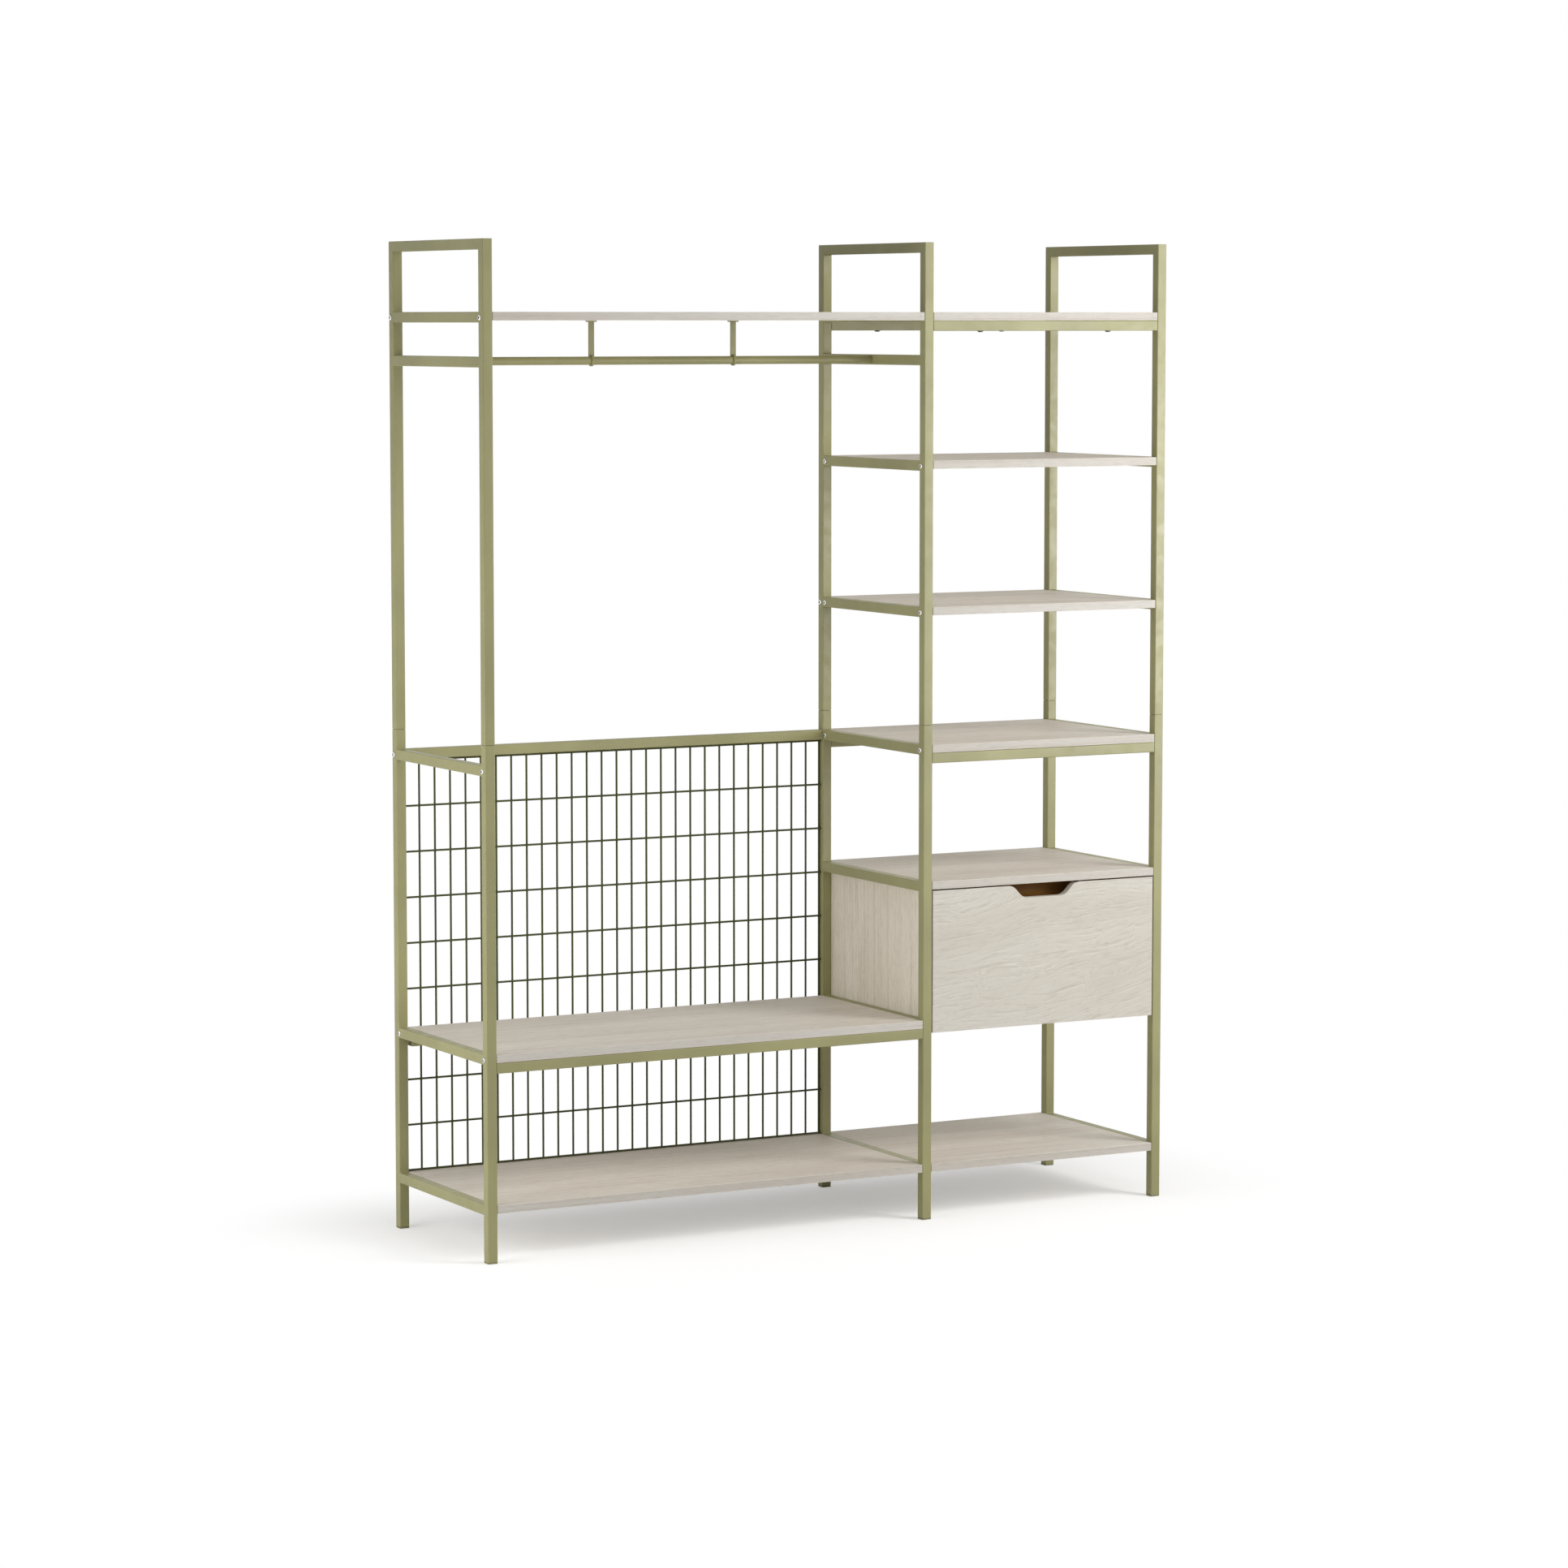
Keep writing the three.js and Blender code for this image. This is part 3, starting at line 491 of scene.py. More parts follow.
def whitewashed_oak(name, order, flow, contrast=1.0, paleness=1.0, arches=(), slant=0.0, figure=YEAR_TURNS,
                    relief=0.0, shine=0.3):
    """Oak with a white wash. order names the object's axes along the grain, across it and into the board, and slant
    is the grain's rise a metre. Slow noise slides every point across the grain by up to 25 mm times flow, so what is
    drawn after it runs in waves, and arches turn it in hairpins. Year lines are noise that turns over as figure says,
    fibres are streaks 2 mm wide and 30 mm long, and pores are dashes under 1 mm wide. relief is the strength of a
    painted highlight, a pale rim: the year line 2.2 mm further up less the line here. paleness multiplies the tones,
    and shine is the shader's specular level."""
    light, ground_tone, late, open_pore = (srgb(*np.minimum(np.multiply(colour, paleness), OAK_LEVEL_MOST))
                                           for colour in (OAK_LIGHT, OAK_GROUND, OAK_LATE, OAK_PORE))
    material, tree, place = new_material(name, Roughness=0.6, IOR=1.46, Specular_IOR_Level=shine)
    split = add(tree, "SeparateXYZ", {0: place}).outputs
    axes = {n: split["XYZ".index(axis)] for n, axis in enumerate(order)}
    axes[1] = math_node(tree, "SUBTRACT", axes[1], product(tree, axes[0], slant))
    place = add(tree, "CombineXYZ", axes).outputs[0]

    def grain(vector, turns, detail=2.0, roughness=0.5):
        """Noise that turns over so often in a metre along the grain and across it."""
        return noise(tree, stretched(tree, vector, turns[0], turns[1], turns[1]), 1.0, detail, roughness)

    def year_lines(vector):
        """Soft lines where the noise of the figure passes its upper half."""
        return ramp(tree, grain(vector, figure), *YEAR_STEP)

    slow = stretched(tree, place, *BEND_TURNS)
    bend = add(tree, "TexNoise", {"Vector": slow, "Scale": 1.0, "Detail": 2.0}).outputs["Color"]
    centred = vector_node(tree, "SUBTRACT", bend, (0.5, 0.5, 0.5)).outputs[0]
    slide = stretched(tree, centred, 0.0, BEND_SLIDE * flow, BEND_SLIDE * flow)
    bent = vector_node(tree, "ADD", place, slide).outputs[0]
    if arches:
        bent = vector_node(tree, "ADD", bent, arched(tree, bent, arches)).outputs[0]

    year = year_lines(bent)
    fibre = grain(bent, FIBRE_TURNS, 3.0, 0.6)
    streak = ramp(tree, fibre, *STREAK_STEP)
    tone = swing(tree, grain(bent, TONE_TURNS, 3.0))
    pore_begins = ramp(tree, year, 0.0, 1.0, *PORE_BEGINS)
    over = math_node(tree, "SUBTRACT", grain(bent, PORE_TURNS), pore_begins)
    pore = math_node(tree, "MULTIPLY", over, PORE_SHARPNESS, clamp=True)

    colour = blended(tree, tone, light, ground_tone)
    for pattern, share, dark in ((year, YEAR_SHARE, late), (streak, FIBRE_SHARE, late), (pore, PORE_SHARE, open_pore)):
        colour = blended(tree, product(tree, pattern, share * contrast), colour, dark)
    # Painted highlight: a pale rim beside each year line, as if light caught its edge
    if relief:
        above = vector_node(tree, "ADD", bent, (0, HIGHLIGHT_OFFSET, 0)).outputs[0]
        rim = math_node(tree, "SUBTRACT", year_lines(above), year, clamp=True)
        colour = blended(tree, product(tree, rim, relief), colour, srgb(*OAK_HIGHLIGHT))
    hollows = math_node(tree, "ADD", pore, product(tree, year, YEAR_HEIGHT))
    height = math_node(tree, "SUBTRACT", product(tree, fibre, FIBRE_HEIGHT), hollows)
    shade(tree, colour, swing(tree, fibre, 0.54, 0.68), height, OAK_RISE, strength=0.9)
    return material


def plated(name, colour, roughness, brush=(40.0, 40.0, 40.0)):
    """Plated steel with a cloudy tone and faint drawn marks, noise that turns over ten times brush in a metre."""
    material, tree, place = new_material(name, Metallic=1.0, Roughness=roughness, IOR=1.5)
    marks = noise(tree, stretched(tree, place, *brush), 10.0, 3.0, 0.6)
    tone = drifting(tree, noise(tree, place, STEEL_TONE_TURNS), colour, DARKER, 1)
    shade(tree, tone, swing(tree, marks, roughness - 0.06, roughness + 0.1), marks, MARK_RISE, strength=0.7)
    return material


def fine_grained(name, colour):
    """Foot plastic or felt: matt, with a fine even grain and a slow drift of tone."""
    material, tree, place = new_material(name, Roughness=0.6, IOR=1.49)
    grain = noise(tree, place, FELT_TURNS)
    tone = drifting(tree, noise(tree, place, FELT_TONE_TURNS), colour, DARKER, 1)
    shade(tree, tone, swing(tree, grain, 0.52, 0.68), grain, FINE_RISE)
    return material


# Arches in the drawer front's figure: tip along the grain, level, reach, width and push
FRONT_ARCHES = (
    (0.318, 0.4282, 0.26, 0.019, 0.034),
    (0.572, 0.3988, 0.2, 0.016, 0.028),
    (0.25, 0.579, 0.2, 0.02, 0.018),
)

coat = powder_coat("sage powder coat", (157, 154, 110), gloss=0.4, shine=0.22)
# Painted shade: the wire's coat is a darker copy of the frame's, standing in for the shade on the thin wires
shaded_wire_coat = powder_coat("sage powder coat on wire, darkened for painted shade", (74, 77, 42), gloss=0.55, shine=0.12)
# Painted light and shade: the boards' oak is paler and their edge band darker, as tops take more light from above than
# edges
board_oak = whitewashed_oak("whitewashed oak board", "XYZ", flow=0.7, paleness=(1.085, 1.08, 1.07))
shaded_band_oak = whitewashed_oak("whitewashed oak edge band", "XZY", flow=0.15, contrast=0.6, paleness=0.96)
# Painted light: the upright panels' oak is paler than the boards' to make up for light their faces lack
lit_housing_oak = whitewashed_oak("whitewashed oak, upright", "ZYX", flow=0.25, contrast=1.25,
                              paleness=(1.155, 1.145, 1.125))
# The drawer front's relief is the strength of its painted highlight along the year lines
front_oak = whitewashed_oak("whitewashed oak drawer front", "XZY", flow=1.7, contrast=0.75,
                            paleness=(0.985, 0.985, 0.975), arches=FRONT_ARCHES, slant=0.1, figure=(7.0, 180.0),
                            relief=0.34)
side_oak = whitewashed_oak("whitewashed oak drawer side", "YZX", flow=0.5)
# Painted shade: the trough's brown stands in for the warm shade seen inside the drawer through the notch
shade_trough_oak = whitewashed_oak("brown oak, painted shade", "XZY", flow=0.3, paleness=(0.68, 0.505, 0.265), shine=0.06)
# Painted shade: the drawer front's dark top edge stands in for the shade of the gap under the board
shade_edge_oak = whitewashed_oak("dark oak edge, painted shade", "XZY", flow=0.3, paleness=(0.40, 0.355, 0.27))
bright_steel = plated("zinc plated steel", (232, 232, 230), 0.34)
# Painted shade: near-black steel in the hex sockets stands in for the shade in the recess
socket_shade = plated("dark steel, painted shade in the socket", (40, 39, 37), 0.5)
screw_steel = plated("black zinc steel", (74, 76, 72), 0.42)
runner_zinc = plated("galvanised runner steel", (188, 192, 194), 0.36, brush=(500.0, 8.0, 500.0))
ball_steel = plated("ball steel", (214, 214, 214), 0.16)
# Painted shade: the dark felt stands in for the shade in the gaps beside the drawer front
gap_shade_felt = fine_grained("brown felt, painted shade", (74, 56, 38))
foot_plastic = fine_grained("olive foot plastic", (138, 135, 100))


# Frames

# Middles of the front and back posts, and each post's inner face with the way from it into the frame
POST_ROWS = node_box("left_frame_lower")[0][1] + TUBE / 2, node_box("left_frame_lower")[1][1] - TUBE / 2
POST_FACES = (POST_ROWS[0] + TUBE / 2, 1), (POST_ROWS[1] - TUBE / 2, -1)
LOWER_POST_TOP = node_box("right_frame_upper")[0][2] - SEAM_GAP

# Tops of the crossbars: each carries a board, and the hanging one is level with the clothes rail
RAIL_LOW, RAIL_HIGH = node_box("clothes_rail")
BAR_TOPS = {level: node_box(carried)[1][2] for level, carried in (
    ("base", "bottom_board_left"), ("bench", "bench_board"), ("drawer", "drawer_top_board"), ("lower", "lower_shelf"),
    ("middle", "middle_shelf"), ("upper", "upper_shelf"), ("top", "top_board_left"))}
BAR_TOPS["hanging"] = (RAIL_LOW[2] + RAIL_HIGH[2] + TUBE) / 2
CROSSBARS = {
    "left_frame_lower": ("base", "bench", "lower"),
    "left_frame_upper": ("hanging", "top"),
    "middle_frame_lower": ("base", "bench", "drawer", "lower"),
    "middle_frame_upper": ("middle", "upper", "hanging", "top"),
    "right_frame_lower": ("base", "bench", "drawer", "lower"),
    "right_frame_upper": ("middle", "upper", "top"),
}
FRAME_X = {
    "left": node_box("left_frame_lower")[0][0] + TUBE / 2,
    "middle": node_sizes("middle_frame_lower")[3][0],
    "right": node_box("right_frame_lower")[1][0] - TUBE / 2,
}


def bar_welds(x, level):
    """The four beads of a crossbar: above and below it, at both posts."""
    return [fillet((x, row, height), inward, away)
            for row, inward in POST_FACES for height, away in ((level, 1), (level - TUBE, -1))]


def frame_half(name):
    """Two posts, or a hoop, with crossbars and their welds. A lower half also carries the joiner sleeves, and the
    left and middle upper halves the pin that holds an end of the clothes rail."""
    side, _, half = name.split("_")
    x, across = FRAME_X[side], (1.0, 0.0, 0.0)
    low, high = node_box(name)
    shells = []
    if half == "lower":
        sleeve = rounded_rectangle(SLEEVE_SIDE, SLEEVE_SIDE, BORE_CORNER, SLEEVE_STEPS)
        seam = LOWER_POST_TOP + SEAM_GAP / 2
        for row in POST_ROWS:
            shells.append(tube([(x, row, low[2]), (x, row, LOWER_POST_TOP)], across, TUBE_OUTSIDE, TUBE_INSIDE))
            shells.append(tube([(x, row, seam - SLEEVE_REACH), (x, row, seam + SLEEVE_REACH)], across, sleeve))
    else:
        front, back, top = *POST_ROWS, high[2] - TUBE / 2
        shells.append(hoop([(x, front, low[2]), (x, front, top), (x, back, top), (x, back, low[2])], across,
                           TUBE_OUTSIDE, TUBE_INSIDE))
        shells += [fillet((x, row, high[2] - TUBE), inward, -1, leg=HOOP_WELD_LEG) for row, inward in POST_FACES]
    reach = TUBE / 2 - BAR_REACH
    for level in map(BAR_TOPS.get, CROSSBARS[name]):
        middle = level - TUBE / 2
        ends = [(x, POST_ROWS[0] + reach, middle), (x, POST_ROWS[1] - reach, middle)]
        shells.append(tube(ends, across, BAR_OUTSIDE))
        shells += bar_welds(x, level)
    if half == "upper" and side != "right":
        inward, tip = (1, high[0]) if side == "left" else (-1, low[0])
        middle = BAR_TOPS["hanging"] - TUBE / 2
        shells.append(tube([(x + inward * PIN_START, 0, middle), (tip, 0, middle)], (0, 1, 0),
                           circle(PIN_RADIUS, PIN_SIDES)))
    piece(f"{name}_tube", shells, [coat], replaces=[name])


for name in CROSSBARS:
    frame_half(name)


# Rails and wire

RAIL_RADIUS = (RAIL_HIGH[2] - RAIL_LOW[2]) / 2
RAIL_SIDES = 48

# Wire of the mesh, and how far its middle lies inside the panel's faces
WIRE = 4 * MM
WIRE_SIDES = 14
WIRE_EASE = 0.5 * MM
WIRE_DEPTH = 0.577 * WIRE
MESH_PITCH = 33 * MM
MESH_INNER_COLUMNS = 27
MESH_ROWS = 10

# Weld nuggets at the crossings: the half angle that their rings span
NUGGET_RADIUS = 2.35 * MM
NUGGET_REACH = 1.0 * MM
NUGGET_ANGLE = 1.35
NUGGET_RINGS = 5
NUGGET_SIDES = 8

# Hangers of the clothes rail
HANGER_SHEET = 2.5 * MM
DISC_SIDES = 40
DISC_CAP = 0.3
DISC_EASE, DISC_TOP_EASE = 0.8 * MM, 0.3 * MM
RING_WIDTH = 4.4 * MM
RING_EASE = 0.5 * MM
RING_GAP = 0.25 * MM
STRAP_WIDTH = 12 * MM
STRAP_CORNER = 0.4 * MM
STRAP_EASE = 0.6 * MM
STRAP_TOP_LAP, STRAP_RAIL_GAP = 0.3 * MM, 0.2 * MM
DISC_WELD_LEG, RING_WELD_LEG, RING_WELD_SINK = 1.6 * MM, 1.3 * MM, 0.15 * MM


def rail(name, outside=TUBE_OUTSIDE, inside=TUBE_INSIDE):
    """A hollow tube across a bay, with eased rims: a square one, or the round clothes rail."""
    low, high, _, (_, row, level) = node_sizes(name)
    shells = [tube([(low[0], row, level), (high[0], row, level)], (0, 1, 0), outside, inside)]
    piece(f"{name}_tube", shells, [coat], replaces=[name])


def wire_mesh():
    """Columns of wire behind rows of wire, pressed into each other where they cross, with a squeezed nugget of weld
    in every crossing: an ellipsoid of revolution whose rings are sines and cosines of the same angle."""
    low, high, _, (middle, _, _) = node_sizes("mesh_panel")
    row_y, column_y = low[1] + WIRE_DEPTH, high[1] - WIRE_DEPTH
    inner = (np.arange(MESH_INNER_COLUMNS) - MESH_INNER_COLUMNS // 2) * MESH_PITCH + middle
    columns = np.concatenate([[low[0] + WIRE / 2], inner, [high[0] - WIRE / 2]])
    rows = np.linspace(low[2] + WIRE / 2, high[2] - WIRE / 2, MESH_ROWS)
    wire = circle(WIRE / 2, WIRE_SIDES)
    shells = [tube([(x, column_y, low[2]), (x, column_y, high[2])], (1, 0, 0), wire, ease=WIRE_EASE) for x in columns]
    shells += [tube([(low[0], row_y, z), (high[0], row_y, z)], (0, 1, 0), wire, ease=WIRE_EASE) for z in rows]
    angle = np.linspace(-NUGGET_ANGLE, NUGGET_ANGLE, NUGGET_RINGS)
    profile = np.stack([NUGGET_RADIUS * np.cos(angle), NUGGET_REACH * np.sin(angle)], -1)
    nugget = turned(profile, NUGGET_SIDES, (0, (row_y + column_y) / 2, 0), (0, 1, 0))
    shells += [shell(nugget + np.array([x, 0, z])) for x in columns for z in rows]
    piece("wire_mesh", shells, [shaded_wire_coat], replaces=["mesh_panel"])


def rail_hanger(name):
    """A strap between a disc under the board and a ring round the rail, with weld beads where they meet. The disc
    and the ring are turned profiles whose edges are arcs."""
    low, high, size, (x, _, _) = node_sizes(name)
    radius, sheet, rail_z = size[0] / 2, HANGER_SHEET, (RAIL_LOW[2] + RAIL_HIGH[2]) / 2
    disc = np.concatenate([
        [[radius * DISC_CAP, -sheet]], arc(radius - DISC_EASE, -sheet + DISC_EASE, DISC_EASE, -90, 0),
        arc(radius - DISC_TOP_EASE, -DISC_TOP_EASE, DISC_TOP_EASE, 0, 90, steps=2), [[radius * DISC_CAP, 0.0]],
    ])
    bore, rim = RAIL_RADIUS + RING_GAP, rail_z - low[2]
    inside, outside, top = bore + RING_EASE, rim - RING_EASE, RING_WIDTH / 2 - RING_EASE
    band = np.concatenate([
        arc(outside, top, RING_EASE, 0, 90), arc(inside, top, RING_EASE, 90, 180),
        arc(inside, -top, RING_EASE, 180, 270), arc(outside, -top, RING_EASE, 270, 360),
    ])
    strap_low, strap_high = RAIL_HIGH[2] + STRAP_RAIL_GAP, high[2] - sheet + STRAP_TOP_LAP
    strap = rounded_rectangle(STRAP_WIDTH, strap_high - strap_low, STRAP_CORNER, steps=2)
    shells = [
        shell(turned(disc, DISC_SIDES, (x, 0, high[2]), (0, 0, 1))),
        slab(strap + [x, (strap_low + strap_high) / 2], "y", -sheet / 2, sheet / 2, STRAP_EASE),
        shell(turned(band, RAIL_SIDES, (x, 0, rail_z), (1, 0, 0)), closed=True),
    ]
    for face in (-1, 1):
        for z, away, length, leg in ((high[2] - sheet, -1, STRAP_WIDTH, DISC_WELD_LEG),
                                     (rail_z + rim - RING_WELD_SINK, 1, RING_WIDTH, RING_WELD_LEG)):
            shells.append(fillet((x, face * sheet / 2, z), face, away, length, leg))
    piece(f"{name}_welded", shells, [coat], replaces=[name])


for name in ("top_rail_front", "top_rail_back", "lower_rail_front", "lower_rail_back", "bench_rail_front",
             "bench_rail_back", "mesh_rail"):
    rail(name)
wire_mesh()
rail("clothes_rail", circle(RAIL_RADIUS, RAIL_SIDES), circle(RAIL_RADIUS - TUBE_WALL, RAIL_SIDES))
rail_hanger("rail_hanger_1")
rail_hanger("rail_hanger_2")


# Boards and panels

# Finger notch: half widths at its top and floor, depth, and reach of the S curve's handles
NOTCH_TOP, NOTCH_FLOOR = 84 * MM, 37 * MM
NOTCH_DEPTH = 25.6 * MM
NOTCH_SWEEP = 24 * MM
NOTCH_STEPS = 14

# Dark top edge of the drawer front, painted shade of the gap above it: its faces' least upward tilt and greatest depth
SHADE_EDGE_TILT = 0.35
SHADE_EDGE_DEPTH = 1.2 * MM

# Finger trough
TROUGH_HALF = 92 * MM
TROUGH_REACH = 42 * MM
TROUGH_DEPTH, TROUGH_CLEARANCE = 31 * MM, 0.6 * MM
TROUGH_WALL = 3 * MM
TROUGH_BEND = 14 * MM
TROUGH_STEPS = 8
TROUGH_EASE = 0.3 * MM
END_PROUD, END_LAP = 0.2 * MM, 0.5 * MM

# Dark felt pads, painted shade of the gaps beside the drawer front, a little smaller than the panel's edge
PAD_NARROWER, PAD_SHORTER = 2 * MM, 4 * MM
PAD_CORNER = 1 * MM
PAD_THICK = 1.3 * MM
PAD_EASE = 0.3 * MM


def board(name, axis, materials):
    """A board that lies or a panel that stands: a rounded rectangle carried along an axis, with round edges and the
    fine joint of an edge band all round. Its faces take the first material and the band the last."""
    low, high, size, centre = node_sizes(name)
    thick = "xyz".index(axis)
    plane = [n for n in range(3) if n != thick]
    outline = rounded_rectangle(*size[plane], BOARD_CORNER, BOARD_STEPS) + centre[plane]
    shells = [slab(outline, axis, low[thick], high[thick], BOARD_EASE, band=len(materials) - 1, line=BAND_LINE)]
    piece(f"{name}_oak", shells, materials, replaces=[name])


def s_curve(start, end, sweep, steps):
    """A cubic Bezier whose two handles lie level, sweep inwards of its ends."""
    t = np.linspace(0, 1, steps + 1)[:, None]
    way = np.sign(end[0] - start[0])
    handles = np.array([start, (start[0] + way * sweep, start[1]), (end[0] - way * sweep, end[1]), end])
    weights = np.concatenate([(1 - t) ** 3, 3 * t * (1 - t) ** 2, 3 * t ** 2 * (1 - t), t ** 3], -1)
    return weights @ handles


def drawer_front():
    """The front panel, whose top edge falls in an S on either side of a level notch. The level parts of that edge
    are dark brown, painted shade of the gap under the board."""
    low, high, _, (centre, _, _) = node_sizes("drawer_front")
    top, floor_z = high[2], high[2] - NOTCH_DEPTH
    right = s_curve((centre + NOTCH_TOP, top), (centre + NOTCH_FLOOR, floor_z), NOTCH_SWEEP, NOTCH_STEPS)
    left = s_curve((centre - NOTCH_FLOOR, floor_z), (centre - NOTCH_TOP, top), NOTCH_SWEEP, NOTCH_STEPS)
    corner = np.array([[low[0], low[2]], [high[0], low[2]], [high[0], top]])
    outline = np.concatenate([corner, right, left, [[low[0], top]]])
    shells = [slab(outline, "y", low[1], high[1], BOARD_EASE, line=BAND_LINE)]
    made = piece("drawer_front_oak", shells, [front_oak, shade_edge_oak], body="drawer",
                 replaces=["drawer_front"])
    # The level top faces take the dark finish, painted shade of the gap under the board
    for face in made.data.polygons:
        if face.normal.z > SHADE_EDGE_TILT and face.center.z > top - SHADE_EDGE_DEPTH:
            face.material_index = 1


def finger_trough():
    """A trough behind the notch, closed by a plate at each end: its wall runs back level, turns up through a
    quarter circle and stands to the drawer's top, so fingers find a smooth hollow. Its brown is painted shade, the
    warm shade seen inside the drawer through the notch."""
    _, high, _, (centre, _, _) = node_sizes("drawer_front")
    wall, bend = TROUGH_WALL, TROUGH_BEND
    front, back = high[1], high[1] + TROUGH_REACH
    base, top = high[2] - TROUGH_DEPTH, high[2] - TROUGH_CLEARANCE
    profile = np.concatenate([
        [[front, base]], arc(back - bend, base + bend, bend, -90, 0, TROUGH_STEPS), [[back, top], [back - wall, top]],
        arc(back - bend, base + bend, bend - wall, 0, -90, TROUGH_STEPS), [[front, base + wall]],
    ])
    end = np.concatenate([
        [[front, base - END_PROUD]], arc(back - bend, base + bend, bend + END_PROUD, -90, 0, TROUGH_STEPS),
        [[back + END_PROUD, top + END_PROUD], [front, top + END_PROUD]],
    ])
    shells = [slab(profile, "x", centre - TROUGH_HALF - END_LAP, centre + TROUGH_HALF + END_LAP, TROUGH_EASE)]
    shells += [slab(end, "x", start, start + wall, TROUGH_EASE)
               for start in (centre - TROUGH_HALF - wall, centre + TROUGH_HALF)]
    piece("finger_trough", shells, [shade_trough_oak], body="drawer")


def gap_shade_pad(name):
    """A dark felt strip on the front edge of a housing panel, where the drawer front comes to rest: painted shade
    of the gap beside the front.
    """
    low, _, size, centre = node_sizes(name)
    outline = rounded_rectangle(size[0] - PAD_NARROWER, size[2] - PAD_SHORTER, PAD_CORNER) + centre[[0, 2]]
    shells = [slab(outline, "y", low[1] - PAD_THICK, low[1], PAD_EASE)]
    piece(f"{name}_pad", shells, [gap_shade_felt])


for name in ("top_board_left", "top_board_right", "upper_shelf", "middle_shelf", "lower_shelf", "drawer_top_board",
             "bench_board", "bottom_board_left", "bottom_board_right"):
    board(name, "z", [board_oak, shaded_band_oak])
finger_trough()
gap_shade_pad("drawer_housing_left")
gap_shade_pad("drawer_housing_right")
board("drawer_housing_left", "x", [lit_housing_oak])
board("drawer_housing_right", "x", [lit_housing_oak])
drawer_front()


# Fasteners and feet

# Bolt heads: the dome begins at the rim's height and ends at the crown's radius
HEAD_SIDES = 36
HEAD_RADIUS, HEAD_HEIGHT = 5.0 * MM, 2.6 * MM
HEAD_CROWN, HEAD_RIM = 2.9 * MM, 0.9 * MM
HEAD_EASE = 0.15 * MM
HEAD_STEPS = 6
KEY_RADIUS, KEY_DEPTH = 2.1 * MM, 1.9 * MM
MOUTH_OUT, MOUTH_IN = 0.25 * MM, 0.2 * MM
SOCKET_DROP = 0.35 * MM
SHANK_SHARE, SHANK_DEPTH = 0.5, 6 * MM
SOCKET_FLOOR = 0.3

# Further bolts of the right frame
HEAD_GAP = 0.1 * MM
BOLT_DROP = 11 * MM
BOLT_ROWS = -201 * MM, 185 * MM
SHELF_LEVELS = ("upper", "middle", "lower")

# Screws under the top rails
PAN_SIDES = 28
PAN_RADIUS, PAN_HEIGHT = 4.6 * MM, 1.9 * MM
PAN_EASE, PAN_EDGE_DROP = 0.9 * MM, 0.25 * MM
PAN_SHANK, PAN_SHANK_DEPTH = 0.4, 4 * MM
PAN_LIP, PAN_DISH = (0.35, 0.65 * MM), (0.28, -0.4 * MM)
WASHER_RADIUS, WASHER_THICK = 6.4 * MM, 0.75 * MM
WASHER_CHAMFERS = 0.1 * MM, 0.15 * MM
RAIL_SCREW_X = 325 * MM, 619 * MM

# Foot plugs
FLANGE_THICK, FLANGE_CORNER, FLANGE_EASE = 3 * MM, 2 * MM, 0.7 * MM
STEM_SIDE, STEM_CORNER, STEM_EASE = 16 * MM, 1 * MM, 0.8 * MM
STEM_START = 2 * MM


def socket_head(centre, axis):
    """A button head turned about its axis: shank, rim, dome, and a hexagon socket with a chamfered mouth. The dome is
    an arc of revolution, its radius led by the cosine of an angle and its height by the sine."""
    angle = np.linspace(0, 1, HEAD_STEPS + 1)[:, None] * np.pi / 2
    dome = np.concatenate([HEAD_RADIUS + (HEAD_CROWN - HEAD_RADIUS) * (1 - np.cos(angle)),
                           HEAD_RIM + (HEAD_HEIGHT - HEAD_RIM) * np.sin(angle)], -1)
    shank, floor_z = HEAD_RADIUS * SHANK_SHARE, HEAD_HEIGHT - KEY_DEPTH
    round_rings = [[shank, -SHANK_DEPTH], [shank, 0.0], [HEAD_RADIUS - HEAD_EASE, 0.0], [HEAD_RADIUS, HEAD_EASE],
                   *dome, [HEAD_CROWN - MOUTH_OUT, HEAD_HEIGHT]]
    hexagon_rings = [[KEY_RADIUS + MOUTH_IN, HEAD_HEIGHT - HEAD_EASE], [KEY_RADIUS, HEAD_HEIGHT - SOCKET_DROP],
                     [KEY_RADIUS, floor_z], [KEY_RADIUS * SOCKET_FLOOR, floor_z - SOCKET_DROP]]
    # The socket's faces take the second finish, near-black steel that paints the shade in the recess
    in_socket = np.repeat([0, 1], [len(round_rings), len(hexagon_rings)])
    profile = np.concatenate([np.array(round_rings + hexagon_rings), in_socket[:, None]], -1)
    grid = turned(profile, HEAD_SIDES, centre, axis)
    return shell(grid, finish=in_socket[:-1], cap_finish=1)


def frame_bolts(side):
    """The bolts on one frame: those of the model, and those that hold the shelves to the right frame."""
    outward = 1 if side == "right" else -1
    face = FRAME_X[side] + outward * (TUBE / 2 + HEAD_GAP)
    nodes = [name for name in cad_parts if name.startswith(f"bolt_{side}_")]
    places = [node_sizes(name)[3][1:] for name in nodes]
    if side == "right":
        places += [(row, BAR_TOPS[level] - BOLT_DROP) for level in SHELF_LEVELS for row in BOLT_ROWS]
    shells = [socket_head((face, row, height), (outward, 0, 0)) for row, height in places]
    piece(f"{side}_frame_bolts", shells, [bright_steel, socket_shade], replaces=nodes)


